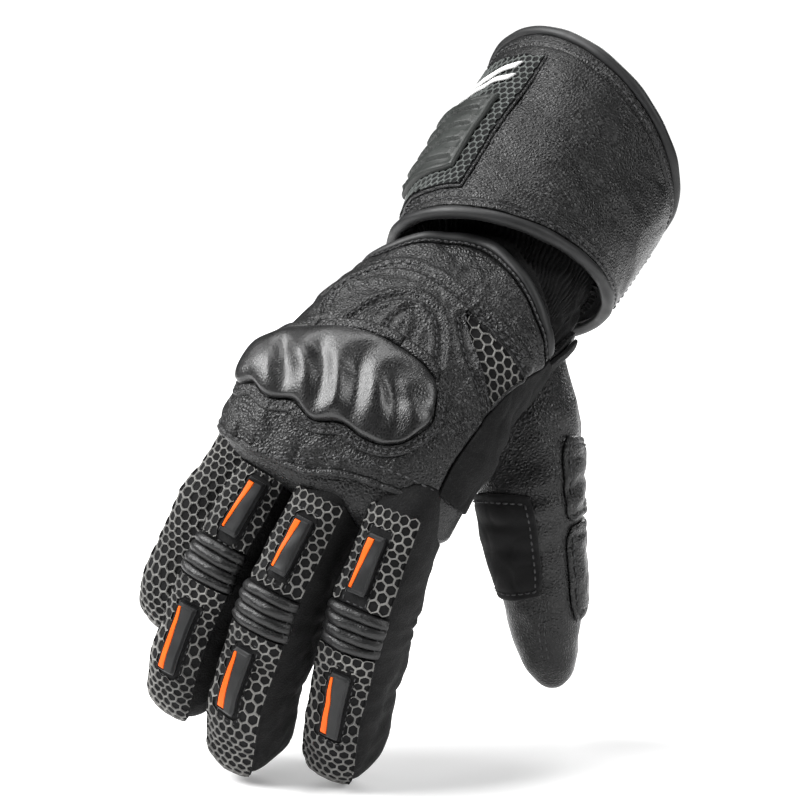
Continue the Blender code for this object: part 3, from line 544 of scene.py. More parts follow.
def finger_at(index):
    """The surface of a finger by its number, with its folds."""
    form = finger_forms[index][1]
    first, last = flex_range(form)
    joint = (first + last) / 2

    def at(stations, angles, lift=0.0):
        stations, angles, lift = grids(stations, angles, lift)
        points = form.skin(stations, angles)
        free = ramp(0.16, 0.30, stations) * (1 - ramp(1.3, 1.8, stations))
        soft = 0.26 * waves(points, 20 * MM, 30 + index) + 0.12 * waves(points, 8 * MM, 40 + index)
        under = ramp(-0.15, 0.6, -np.sin(np.radians(angles)))
        beside = ramp(0.2, 0.75, np.abs(np.cos(np.radians(angles)))) * (1 - under)
        fold = 0.0
        for place, width, deep in ((joint, 0.020, 1.0), (joint - 0.055, 0.016, 0.6),
                                   (joint + 0.06, 0.016, 0.5), (0.78, 0.018, 0.6)):
            near_fold = np.exp(-(((stations - place) / width) ** 2))
            fold = fold - deep * near_fold * (1.0 * under + 0.55 * beside)
        pinch = creases(points, 13 * MM, 60 + index) * 0.22 * (under + beside)
        return form.at(stations, angles, lift + MM * free * (soft + fold + pinch))

    return at


def thumb_at(stations, angles, lift=0.0):
    stations, angles, lift = grids(stations, angles, lift)
    points = thumb_form.skin(stations, angles)
    free = ramp(0.10, 0.30, stations) * (1 - ramp(1.3, 1.8, stations))
    soft = 0.38 * waves(points, 26 * MM, 21) + 0.15 * waves(points, 10 * MM, 22)
    fold = 0.0
    for place, width, deep in ((0.46, 0.020, 0.8), (0.525, 0.017, 0.7), (0.60, 0.016, 0.35)):
        bow = place + 0.03 * np.cos(np.radians(angles - 190))
        facing = ramp(-0.3, 0.5, np.cos(np.radians(angles - 150)))
        fold = fold - deep * facing * np.exp(-(((stations - bow) / width) ** 2))
    return thumb_form.at(stations, angles, lift + MM * free * (soft + fold))


def cuff_skin(share, angle, lift=0.0, shift=0.0):
    """The cuff's surface, slightly dented and drawn in at its hems."""
    share, angle, lift, shift = grids(share, angle, lift, shift)
    points = cuff_at(share, angle)
    soft = 0.75 * waves(points, 55 * MM, 71) + 0.26 * waves(points, 22 * MM, 72)
    soft = soft + 0.10 * waves(points, 9 * MM, 73)
    calm = 1 - 0.6 * ramp(0.86, 1.0, share) - 0.6 * ramp(0.12, 0.0, share)
    return cuff_at(share, angle, lift + MM * calm * np.clip(soft, -1.3, 1.0), shift)


# Meshes


def volume_of(points, faces):
    """Six times the volume inside the faces, below zero if they face inwards."""
    total = 0.0
    for corners in {len(face) for face in faces}:
        some = np.array([face for face in faces if len(face) == corners])
        base = points[some[:, 0]]
        for k in range(1, corners - 1):
            cross = np.cross(points[some[:, k]], points[some[:, k + 1]])
            total += float(np.sum(base * cross))
    return total


class Form:
    """Points and faces that are gathered into one mesh; each face has a finish's number."""

    def __init__(self):
        self.points = []
        self.faces = []
        self.finish = []
        self.count = 0

    def add(self, points, faces, finish=0, closed=False):
        points = np.asarray(points, float).reshape(-1, 3)
        if closed and volume_of(points, faces) < 0:
            faces = [face[::-1] for face in faces]
        self.points.append(points)
        self.faces += [[index + self.count for index in face] for face in faces]
        self.finish += [finish] * len(faces) if np.isscalar(finish) else list(finish)
        self.count += len(points)


def grid_faces(rows, columns, first=0, ring=False, turn=False):
    i, j = np.meshgrid(np.arange(rows - 1), np.arange(columns if ring else columns - 1),
                       indexing="ij")
    k = (j + 1) % columns
    a, b = first + i * columns + j, first + i * columns + k
    c, d = first + (i + 1) * columns + k, first + (i + 1) * columns + j
    faces = np.stack([a, b, c, d] if not turn else [d, c, b, a], axis=-1)
    return faces.reshape(-1, 4).tolist()


def border_of(rows, columns):
    edge = list(range(columns))
    edge += [i * columns + columns - 1 for i in range(1, rows)]
    edge += [(rows - 1) * columns + j for j in range(columns - 2, -1, -1)]
    edge += [i * columns for i in range(rows - 2, 0, -1)]
    return edge


def slab(form, low, high, finish=0):
    """A closed pad between two grids."""
    low, high = np.asarray(low), np.asarray(high)
    rows, columns = low.shape[:2]
    count = rows * columns
    faces = grid_faces(rows, columns, 0, False, True) + grid_faces(rows, columns, count)
    edge = border_of(rows, columns)
    for here, after in zip(edge, edge[1:] + edge[:1]):
        faces.append([here, after, after + count, here + count])
    points = np.concatenate([low.reshape(-1, 3), high.reshape(-1, 3)])
    form.add(points, faces, finish, closed=True)


def sleeve(form, outer, inner, pole_out=None, pole_in=None):
    """A closed hollow form: outer and inner rings, and poles where its end is shut.

    The outside has the first finish, and the inside the second one.
    """
    outer, inner = np.asarray(outer), np.asarray(inner)
    rows, columns = outer.shape[:2]
    count = rows * columns
    last = (rows - 1) * columns
    pairs = [(j, (j + 1) % columns) for j in range(columns)]
    faces = grid_faces(rows, columns, 0, True)
    inside = grid_faces(rows, columns, count, True, True)
    kinds = [0] * len(faces) + [1] * len(inside) + [0] * columns
    faces += inside
    faces += [[k, j, count + j, count + k] for j, k in pairs]
    points = [outer.reshape(-1, 3), inner.reshape(-1, 3)]
    if pole_out is None:
        faces += [[last + j, last + k, count + last + k, count + last + j] for j, k in pairs]
        kinds += [0] * columns
    else:
        points.append(np.array([pole_out, pole_in]))
        for j, k in pairs:
            faces.append([last + j, last + k, 2 * count])
            faces.append([count + last + k, count + last + j, 2 * count + 1])
        kinds += [0, 1] * columns
    form.add(np.concatenate(points), faces, kinds)


def plug(form, rings, pole):
    """A closed form, flat at its first ring and closed by a pole."""
    rings = np.asarray(rings)
    rows, columns = rings.shape[:2]
    faces = grid_faces(rows, columns, 0, True)
    last = (rows - 1) * columns
    faces += [[last + j, last + (j + 1) % columns, rows * columns] for j in range(columns)]
    faces.append(list(range(columns))[::-1])
    form.add(np.concatenate([rings.reshape(-1, 3), [pole]]), faces)


def dense(line, step=1.0 * MM, closed=False):
    """Points spaced evenly along a line."""
    line = np.asarray(line, float)
    if closed:
        line = np.concatenate([line, line[:1]])
    gaps = np.linalg.norm(np.diff(line[:, :3], axis=0), axis=1)
    travel = np.concatenate([[0], np.cumsum(gaps)])
    count = max(2, int(round(travel[-1] / step)) + 1)
    places = np.linspace(0, travel[-1], count)
    if closed:
        places = places[:-1]
    return np.stack([np.interp(places, travel, line[:, k]) for k in range(line.shape[1])], axis=1)


def traced(rows, count=160):
    """A smooth curve of table rows: pairs of a station and an angle."""
    curve = smooth(np.arange(len(rows)), rows, np.linspace(0, len(rows) - 1, count))
    return curve[:, 0], curve[:, 1]


def cord(form, line, radius, sides, ups, closed=False, flat=1.0):
    """A round or flattened cord along a line of points, with rounded ends."""
    line = np.asarray(line, float)
    if closed:
        ahead = unit(np.roll(line, -1, axis=0) - np.roll(line, 1, axis=0))
    else:
        ahead = unit(np.gradient(line, axis=0))
    side = unit(np.cross(ahead, ups))
    up = np.cross(side, ahead)
    turn = np.linspace(0, 2 * math.pi, sides + 1)[:-1]
    radius = np.broadcast_to(np.asarray(radius, float), (len(line),)).copy()
    if not closed:
        line = np.concatenate([line[:1], line, line[-1:]])
        line[0] -= ahead[0] * radius[0] * 0.5
        line[-1] += ahead[-1] * radius[-1] * 0.5
        side = np.concatenate([side[:1], side, side[-1:]])
        up = np.concatenate([up[:1], up, up[-1:]])
        radius = np.concatenate([radius[:1] * 0.6, radius, radius[-1:] * 0.6])
    rings = (line[:, None] + radius[:, None, None]
             * (np.cos(turn)[None, :, None] * side[:, None]
                + flat * np.sin(turn)[None, :, None] * up[:, None]))
    rows = len(rings)
    faces = grid_faces(rows, sides, 0, True, True)
    if closed:
        last = (rows - 1) * sides
        faces += [[last + (j + 1) % sides, last + j, j, (j + 1) % sides] for j in range(sides)]
    else:
        faces.append(list(range(sides)))
        faces.append(list(range((rows - 1) * sides, rows * sides))[::-1])
    form.add(rings.reshape(-1, 3), faces)


STITCH = 1.75 * MM
STITCH_PITCH = 2.9 * MM
THREAD = 0.31 * MM
STITCH_STEP = 0.1 * MM
# A stitch from end to end: shares of half its length, of its thickness and of its rise
STITCH_SHAPE = ((-1.0, 0.45, -0.75), (-0.72, 0.85, 0.05), (-0.25, 1.0, 0.42), (0.25, 1.0, 0.42),
                (0.72, 0.85, 0.05), (1.0, 0.45, -0.75))


def stitches(form, at, stations, angles, lift, pitch=STITCH_PITCH, length=STITCH, thread=THREAD):
    """A row of raised stitches along a line on a surface; their ends sink into it."""
    low = at(stations, angles, lift)
    out = unit(at(stations, angles, lift + 0.5 * MM) - low)
    both = dense(np.concatenate([low, out], axis=1), STITCH_STEP)
    low, out = both[:, :3], unit(both[:, 3:])
    step = max(1, int(round(pitch / STITCH_STEP)))
    half = max(1, int(round(length / (2 * STITCH_STEP))))
    sides = 6
    turn = np.linspace(0, 2 * math.pi, sides + 1)[:-1]
    rows = len(STITCH_SHAPE)
    faces = grid_faces(rows, sides, 0, True)
    faces.append(list(range(sides))[::-1])
    faces.append(list(range((rows - 1) * sides, rows * sides)))
    for middle in range(half + 1, len(low) - half - 1, step):
        ahead = unit(low[middle + half] - low[middle - half])
        up = out[middle]
        side = unit(np.cross(up, ahead))
        rings = []
        for share, size, rise in STITCH_SHAPE:
            centre = low[middle] + ahead * share * length / 2 + up * rise * thread
            around = np.cos(turn)[:, None] * side + np.sin(turn)[:, None] * up
            rings.append(centre + around * size * thread)
        form.add(np.concatenate(rings), faces)


def rim_shares(count, edge, steps=4):
    """Shares from 0 to 1 with close ones in both rims, where a pad is rounded."""
    near = edge * (1 - np.cos(np.linspace(0, math.pi / 2, steps + 1)))
    return np.concatenate([near, np.linspace(edge, 1 - edge, count)[1:-1], 1 - near[::-1]])


def rounded(share, edge):
    """The height of a rounded rim at a share: 0 at the ends, 1 from the edge on."""
    near = np.clip(np.minimum(share, 1 - share) / edge, 0, 1)
    return np.sqrt(np.clip(1 - (1 - near) ** 2, 0, 1))


PIECES = []
CUTTERS = []
# Edges that turn by more degrees than this stay sharp
SHARP = 38


def new_object(name, form):
    """An object in the scene with the form's points and faces."""
    mesh = bpy.data.meshes.new(name)
    mesh.from_pydata(np.concatenate(form.points).tolist(), [], form.faces)
    obj = bpy.data.objects.new(name, mesh)
    bpy.context.scene.collection.objects.link(obj)
    return obj


def mesh_piece(name, form, finishes, nodes=(), slot="black_leather", sharp=SHARP, fill=None):
    """Make the gathered form a piece that rides with the glove and stands for its nodes."""
    obj = new_object(name, form)
    mesh = obj.data
    mesh.polygons.foreach_set("material_index", np.array(form.finish, dtype=np.int32))
    for finish in finishes:
        mesh.materials.append(FINISHES[finish])
    mesh.validate()
    mesh.shade_smooth()
    mesh.set_sharp_from_angle(angle=math.radians(sharp))
    PIECES.append((obj, tuple(nodes), slot, fill))
    return obj


def rim_grid(rows, edge, steps, columns, side, side_steps):
    """Shares along and across a pad, and the height of its rounded rim."""
    along, across = lattice(rim_shares(rows, edge, steps), rim_shares(columns, side, side_steps))
    return along, across, rounded(along, edge) * rounded(across, side)


def thread_piece(name, form):
    mesh_piece(name, form, ("thread",), (), "black_softshell")


def pad(name, at, place, low, high, finish, node=None, slot=None, sharp=SHARP, fill=None):
    """A piece between two heights over a surface, for a station grid and an angle grid."""
    form = Form()
    slab(form, at(*place, low), at(*place, high))
    return mesh_piece(name, form, (finish,), (node,) if node else (), slot or finish, sharp, fill)


def edge_cord(name, line, ups, radius):
    """A leather cord closed round the edge of a net."""
    both = dense(np.concatenate([line, ups], axis=1), 0.9 * MM, True)
    form = Form()
    cord(form, both[:, :3], radius, 8, unit(both[:, 3:]), True)
    mesh_piece(name, form, ("black_leather",))


def cut(obj, cutters):
    """Take the cutters out of a piece, and keep the result as its mesh."""
    for cutter in cutters:
        boolean = obj.modifiers.new(cutter.name, "BOOLEAN")
        boolean.operation = "DIFFERENCE"
        boolean.solver = "EXACT"
        boolean.object = cutter
    graph = bpy.context.evaluated_depsgraph_get()
    made = bpy.data.meshes.new_from_object(obj.evaluated_get(graph))
    obj.modifiers.clear()
    obj.data = made
    made.shade_smooth()
    made.set_sharp_from_angle(angle=math.radians(SHARP))


def cutter_piece(name, form):
    obj = new_object(name, form)
    obj.data.validate()
    obj.hide_render = True
    CUTTERS.append(obj)
    return obj


# The hexagon net

# The finishes of a net piece after its cloth: the cells' floors and the lines between them
GROUND, LINE = 1, 2


def honeycomb(form, at, clamp, centre, size, pitch, line, foot, height, turn=0.0, skip=None):
    """A relief sheet of hexagon cells on a map in metres; clamp holds a map point inside.

    Cells are dropped where the clamp leaves little of them.
    """
    across = pitch
    down = pitch * math.sqrt(3) / 2
    reach = int(max(size) / down) + 2
    corner = across / math.sqrt(3)
    steps = 12
    around = np.radians(30 * np.arange(steps)) + math.radians(turn)
    odd = np.arange(steps) % 2 == 1
    outer = np.where(odd, corner, across / 2)
    inner = np.where(odd, corner * 0.975 - line * 0.577, across / 2 - line / 2)
    cos, sin = math.cos(math.radians(turn)), math.sin(math.radians(turn))
    keys, points, faces, kinds, rims = {}, [], [], [], {}

    def add(u, v, rise):
        key = (round(u * 2e5), round(v * 2e5), round(rise * 1e6))
        if key not in keys:
            keys[key] = len(points)
            points.append((u, v, rise))
        return keys[key]

    def clean(loop):
        return [p for i, p in enumerate(loop) if p != loop[i - 1]]

    for row in range(-reach, reach + 1):
        for column in range(-reach, reach + 1):
            x, y = (column + 0.5 * (row % 2)) * across, row * down
            u, v = centre[0] + x * cos - y * sin, centre[1] + x * sin + y * cos
            if skip is not None and skip(u, v):
                continue
            loops = []
            for reach_out, inset in ((outer, 0.0), (inner, line / 2)):
                free = [(u + r * math.cos(a), v + r * math.sin(a))
                        for r, a in zip(reach_out, around)]
                loops.append(np.array([clamp(*p, inset) for p in free]))
                if inset == 0.0:
                    held = np.abs(loops[0] - np.array(free)).max(axis=1) > 1e-7
            x0, y0 = loops[1][:, 0], loops[1][:, 1]
            area = abs(np.sum(x0 * np.roll(y0, -1) - y0 * np.roll(x0, -1))) / 2
            whole = 0.72 * (across - line) ** 2
            if area < 0.16 * whole:
                continue
            rings = [
                [add(*p, height) for p in loops[0]],
                [add(*(0.55 * p + 0.45 * q), 0.93 * height) for p, q in zip(*loops)],
                [add(*(0.15 * p + 0.85 * q), 0.62 * height) for p, q in zip(*loops)],
                [add(*q, 0.12 * height) for q in loops[1]],
            ]
            for high, low in zip(rings, rings[1:]):
                for j in range(steps):
                    k = (j + 1) % steps
                    face = clean([high[j], high[k], low[k], low[j]])
                    if len(set(face)) > 2:
                        faces.append(face)
                        kinds.append(GROUND if held[j] and held[k] else LINE)
            floor = clean(rings[3])
            if len(set(floor)) > 2:
                faces.append(floor)
                kinds.append(GROUND)
            bottom = [add(*p, 0.0) for p in loops[0]]
            under = clean(bottom)
            if len(set(under)) > 2:
                faces.append(under[::-1])
                kinds.append(GROUND)
            for j in range(steps):
                k = (j + 1) % steps
                if rings[0][j] != rings[0][k]:
                    rims[(rings[0][j], rings[0][k])] = (bottom[j], bottom[k])
    for (high_a, high_b), (low_a, low_b) in rims.items():
        if (high_b, high_a) not in rims:
            faces.append([high_b, high_a, low_a, low_b])
            kinds.append(GROUND)
    flat = np.array(points)
    form.add(at(flat[:, 0], flat[:, 1], foot + flat[:, 2]), faces, kinds)


# Helpers on a surface


def beside_line(at, stations, angles, offset):
    """A line moved sideways on a surface by an offset in metres, to the left of its direction."""
    step_s, step_a = 1e-3, 0.1
    along = (at(stations + step_s, angles) - at(stations - step_s, angles)) / (2 * step_s)
    around = (at(stations, angles + step_a) - at(stations, angles - step_a)) / (2 * step_a)
    out = unit(np.cross(around, along))
    line = at(stations, angles)
    ahead = unit(np.gradient(line, axis=0))
    side = np.cross(out, ahead) * offset
    aa = np.sum(along * along, -1)
    bb = np.sum(around * around, -1)
    ab = np.sum(along * around, -1)
    sa, sb = np.sum(side * along, -1), np.sum(side * around, -1)
    whole = aa * bb - ab * ab
    return stations + (sa * bb - sb * ab) / whole, angles + (sb * aa - sa * ab) / whole


def softened(values, times=3):
    """The values of a line with their corners rounded."""
    for _ in range(times):
        inner = 0.25 * values[:-2] + 0.5 * values[1:-1] + 0.25 * values[2:]
        values = np.concatenate([values[:1], inner, values[-1:]])
    return values


def ring_degrees(skin, station, angle):
    """Degrees of a turn round a form for a metre of its skin."""
    return 10.0 / float(np.linalg.norm(skin(station, angle + 5.0) - skin(station, angle - 5.0)))


# The hand: leather shell, fingers and thumb

BODY_STATIONS = np.concatenate([np.linspace(0.0, 1.0, 64), 1 + np.linspace(0, 0.97, 14)[1:]])
PALM_ROUND = 132
FINGER_ROUND = 64
THUMB_ROUND = 80


def tube_of(at, root, anchor, lift, sides, stations):
    """Rings of a finger from a small one inside the palm, with close rings up to its tip."""
    angles = round_angles(sides)
    rings = [at(np.full(sides, station), angles, lift) for station in stations if station >= root]
    first = at(np.full(sides, root), angles, lift)
    middle = first.mean(axis=0)
    small = anchor + ANCHOR_SHARE * (first - middle)
    start = [small + (first - small) * share for share in (0.0, 0.25, 0.5, 0.75, 1.0)]
    return start + rings


def anchor_of(finger):
    along = (finger.along - 0.16) * PALM_LENGTH
    return in_hand(along, 0.8 * finger.across * PALM_WIDTH, 0.5 * finger.rise * PALM_DEPTH)


ANCHOR_SHARE = 0.5
TUBE_STATIONS = np.concatenate([np.linspace(0.05, 1.0, 88), 1 + np.linspace(0, 0.97, 20)[1:]])
PLAIN_STATIONS = (0.14, 0.22, 0.34, 0.5, 0.65, 0.82, 1.0, 1.2, 1.4, 1.6, 1.8)


def digit_cutter(name, at, root, anchor, lift, sides):
    """A cutter with the form of a finger or the thumb."""
    tool = Form()
    plug(tool, tube_of(at, root, anchor, lift, sides, PLAIN_STATIONS), at(*POLE, lift))
    return cutter_piece(name, tool)


def palm_seam_lines():
    """Seams of the palm side, which the photograph hides: plain lines along and across it."""
    side = traced(((0.16, 190), (0.4, 189), (0.65, 188), (0.9, 190), (1.05, 196)))
    heel = traced(((0.20, 196), (0.30, 214), (0.36, 240), (0.34, 268), (0.26, 290), (0.16, 304)))
    bend = traced(((0.92, 196), (0.86, 220), (0.84, 250), (0.86, 285), (0.88, 312)))
    return side, heel, bend


def palm_shell():
    angles = round_angles(PALM_ROUND)
    rim = rim_of_palm(angles)
    stations, turns = [], []
    for share in BODY_STATIONS:
        stations.append(rim + (1 - rim) * share if share <= 1 else np.full(PALM_ROUND, share))
        turns.append(angles)
    stations, turns = np.array(stations), np.array(turns)
    points = palm_form.skin(stations, turns)
    extra = 0.30 * MM * creases(points, 15 * MM, 13) * ramp(0.1, 0.6, -np.sin(np.radians(turns)))
    for line in palm_seam_lines():
        gap = distance(points, dense(palm_form.skin(*line)))
        extra = extra - 0.45 * MM * np.exp(-((gap / (0.8 * MM)) ** 2))
    edge = ramp(0, 0.02, BODY_STATIONS)[:, None] * 0.5 * MM - 0.5 * MM
    outer = palm_at(stations, turns, extra + edge)
    inner = palm_form.at(stations, turns, -PALM_WALL - 0.2 * MM)
    form = Form()
    sleeve(form, outer, inner, palm_at(*POLE), palm_form.at(*POLE, -PALM_WALL))
    body = mesh_piece("palm", form, ("black_leather", "lining"), ("palm_body",))
    cutters = [digit_cutter(f"{finger.name}_hollow", plain.at, finger.root, anchor_of(finger),
                            -FINGER_WALL, 40) for finger, plain in finger_forms]
    cutters.append(digit_cutter("thumb_hollow", thumb_form.at, 0.0, THUMB_ANCHOR, -FINGER_WALL, 40))
    cut(body, cutters)
    thread = Form()
    for line in palm_seam_lines():
        for side in (-1.3, 1.3):
            stitches(thread, palm_at, *beside_line(palm_form.skin, *line, side * MM), 0.0 * MM)
    thread_piece("palm_stitches", thread)


def palm_block(grow, name):
    angles = round_angles(72)
    rows = [palm_at(np.full(72, station), angles, grow)
            for station in (*np.linspace(0, 1, 26), 1.2, 1.4, 1.6, 1.8)]
    tool = Form()
    plug(tool, rows, palm_at(*POLE, grow))
    return cutter_piece(name, tool)


def digit_body(name, node, at, plain, root, anchor, sides, finish, outside):
    """A hollow finger or thumb, cut off where the outside of the palm begins."""
    outer = tube_of(at, root, anchor, 0.0, sides, TUBE_STATIONS)
    inner = tube_of(plain.at, root, anchor, -FINGER_WALL - 0.3 * MM, sides, TUBE_STATIONS)
    form = Form()
    sleeve(form, outer, inner, at(*POLE), plain.at(*POLE, -FINGER_WALL))
    cut(mesh_piece(name, form, (finish, "lining"), (node,), finish), [outside])


# The net on the fingers, with the plain field round each insert


def finger_map(index, middle):
    """Map metres to a station and an angle on a finger's back, also over its round tip."""
    form = finger_forms[index][1]
    run = form.length - form.tip
    curve = math.pi / 2 * form.tip
    turns = np.linspace(10, 170, 161)
    section = form.skin(np.full(161, 0.5), turns)
    travel = np.concatenate([[0], np.cumsum(np.linalg.norm(np.diff(section, axis=0), axis=1))])
    travel = travel - np.interp(middle, turns, travel)

    def squeeze(v):
        over = np.clip((v - run) / curve, 0, 1) * math.pi / 2
        return np.maximum(np.cos(over), 0.3)

    def place(u, v):
        u, v = np.asarray(u, float), np.asarray(v, float)
        station = np.where(v <= run, v / run, 1 + (v - run) / curve)
        return station, np.interp(u / squeeze(v), travel, turns)

    def spot(station, angle):
        v = station * run if station <= 1 else run + (station - 1) * curve
        return float(np.interp(angle, turns, travel) * squeeze(np.float64(v))), v

    return place, spot, squeeze


def finger_net_piece(index, part, first, last):
    finger, form = finger_forms[index]
    at = finger_at(index)
    middle = (NET_FIRST + NET_LAST) / 2
    place_on, spot, squeeze = finger_map(index, middle)
    low, high = spot(first, middle)[1], spot(last, middle)[1]
    right, left = -spot(0.5, NET_FIRST)[0], spot(0.5, NET_LAST)[0]
    inserts = [insert for insert in INSERTS
               if insert.finger == finger.name and f"_{insert.part}" == part]
    boxes = []
    for insert in inserts:
        v = insert.station * (form.length - form.tip)
        half = SLIM * INSERT_WIDTH / 2 + 1.3 * MM
        long_half = INSERT_LENGTH / 2 + 1.4 * MM
        here = spot(0.5, insert.angle)[0]
        boxes.append((here - half, here + half, v - long_half, v + long_half))

    def clamp(u, v, inset):
        v = min(max(v, low + inset), high - inset)
        tight = float(squeeze(np.float64(v)))
        u = min(max(u, -right * tight + inset), left * tight - inset)
        for start, end, near_end, far_end in boxes:
            start, end = start - inset, end + inset
            near_end, far_end = near_end - inset, far_end + inset
            if start < u < end and near_end < v < far_end:
                gaps = (u - start, end - u, v - near_end, far_end - v)
                way = int(np.argmin(gaps))
                u = (start, end, u, u)[way]
                v = (v, v, near_end, far_end)[way]
                u = min(max(u, -right * tight + inset), left * tight - inset)
                v = min(max(v, low + inset), high - inset)
        return u, v

    def in_field(u, v):
        return any(left - 0.1 * MM < u < right + 0.1 * MM and near - 0.1 * MM < v < far + 0.1 * MM
                   for left, right, near, far in boxes)

    def on_map(u, v, lift):
        return at(*place_on(u, v), lift)

    piece_form = Form()
    rows = max(12, int((high - low) / (1.3 * MM)))
    along, across = lattice(rim_shares(rows, 0.02, 3), rim_shares(30, 0.03, 3))
    v = low + (high - low) * along
    u = (-right + (left + right) * across) * squeeze(v)
    station, angle = place_on(u, v)
    rise = 0.45 * MM * (0.3 + 0.7 * rounded(along, 0.02) * rounded(across, 0.03))
    slab(piece_form, at(station, angle, SEWN_GAP), at(station, angle, SEWN_GAP + rise), 0)
    honeycomb(piece_form, on_map, clamp, (0.0, (low + high) / 2), (high - low, left + right),
              3.2 * MM, 0.56 * MM, SEWN_GAP + 0.47 * MM, 0.55 * MM, skip=in_field)
    mesh_piece(f"{finger.name}_mesh{part}", piece_form, ("net_cloth", "net_floor", "grey_net"),
               (f"{finger.name}_net{part}",), "grey_net", 60)
    edge = Form()
    for side in (-right - 0.15 * MM, left + 0.15 * MM):
        v = np.linspace(low + 0.3 * MM, high - 0.3 * MM, 90)
        station, angle = place_on(side * squeeze(v), v)
        line = at(station, angle, 0.78 * MM + 0.12 * MM * np.sin(v / (1.1 * MM)))
        ups = unit(at(station, angle, 1 * MM) - at(station, angle, 0.0))
        cord(edge, line, 0.50 * MM, 8, ups)
    mesh_piece(f"{finger.name}_net_seam{part}", edge, ("black_softshell",), (), "black_softshell")
    thread = Form()
    share = np.linspace(0, 1, 60)
    ends = np.linspace(-1, 1, 40)
    for insert in inserts:
        seams = [(-0.15 + (1.15 + 0.15) * share, 0.86 * (side + 0.0 * share))
                 for side in (-1.12, 1.12)]
        seams += [(end + 0 * ends, 0.86 * ends) for end in (-0.13, 1.13)]
        for along, across in seams:
            stitches(thread, at, *insert_place(insert, form, along, across),
                     SEWN_GAP + 0.45 * MM, pitch=2.4 * MM, length=1.5 * MM, thread=0.20 * MM)
    if thread.count:
        thread_piece(f"{finger.name}_stitches{part}", thread)


def finger_flex_piece(index):
    """Four stitched leather tubes over the middle joint."""
    finger, form = finger_forms[index]
    at = finger_at(index)
    first, last = flex_range(form)
    along, across = lattice(np.linspace(0, 1, 49), rim_shares(34, 0.05, 4))
    tube = np.abs(np.sin(math.pi * FLEX_RIBS * along)) ** 0.55
    station = first + (last - first) * along
    wide = 1 + 0.018 * (tube - 1)
    angle = (FLEX_FIRST + FLEX_LAST) / 2 + (FLEX_LAST - FLEX_FIRST) * (across - 0.5) * wide
    dents = 1 - 0.10 * ramp(0.2, 1.2, waves(form.skin(station, angle), 5 * MM, 90 + index))
    side = 0.45 + 0.55 * np.sin(math.pi * np.clip(across, 0, 1)) ** 0.35
    height = FLEX_EDGE * 0.6 + (FLEX_HEIGHT - 0.6 * FLEX_EDGE) * tube * rounded(across, 0.05)
    height = 0.25 * MM + 0.78 * (height - 0.25 * MM) * side * dents
    height = height * (0.55 + 0.45 * rounded(along, 0.02))
    pad(f"{finger.name}_joint", at, (station, angle), SEWN_GAP, SEWN_GAP + height, "flex_leather",
        f"{finger.name}_flex", "black_leather", 50, 0.7)
    thread = Form()
    for across_line in (0.085, 0.915):
        share = np.linspace(0.03, 0.97, 60)
        stations = first + (last - first) * share
        angles = FLEX_FIRST + (FLEX_LAST - FLEX_FIRST) * (across_line + 0 * share)
        tube = np.abs(np.sin(math.pi * FLEX_RIBS * share)) ** 0.55
        lift = SEWN_GAP + 0.40 * MM + 0.52 * (FLEX_HEIGHT - FLEX_EDGE) * tube
        line = at(stations, angles, lift)
        ups = unit(at(stations, angles, lift + 1 * MM) - line)
        cord(thread, line, 0.2 * MM, 6, ups)
    thread_piece(f"{finger.name}_joint_thread", thread)


STRIPE_EDGE = 0.88
SLIM = 0.72


def stripe_side(insert, along):
    """The orange stripe's inner side: it widens towards one end, beside the bar's outer edge."""
    wide = along if insert.wide_end else 1 - along
    return 0.50 - 0.55 * wide


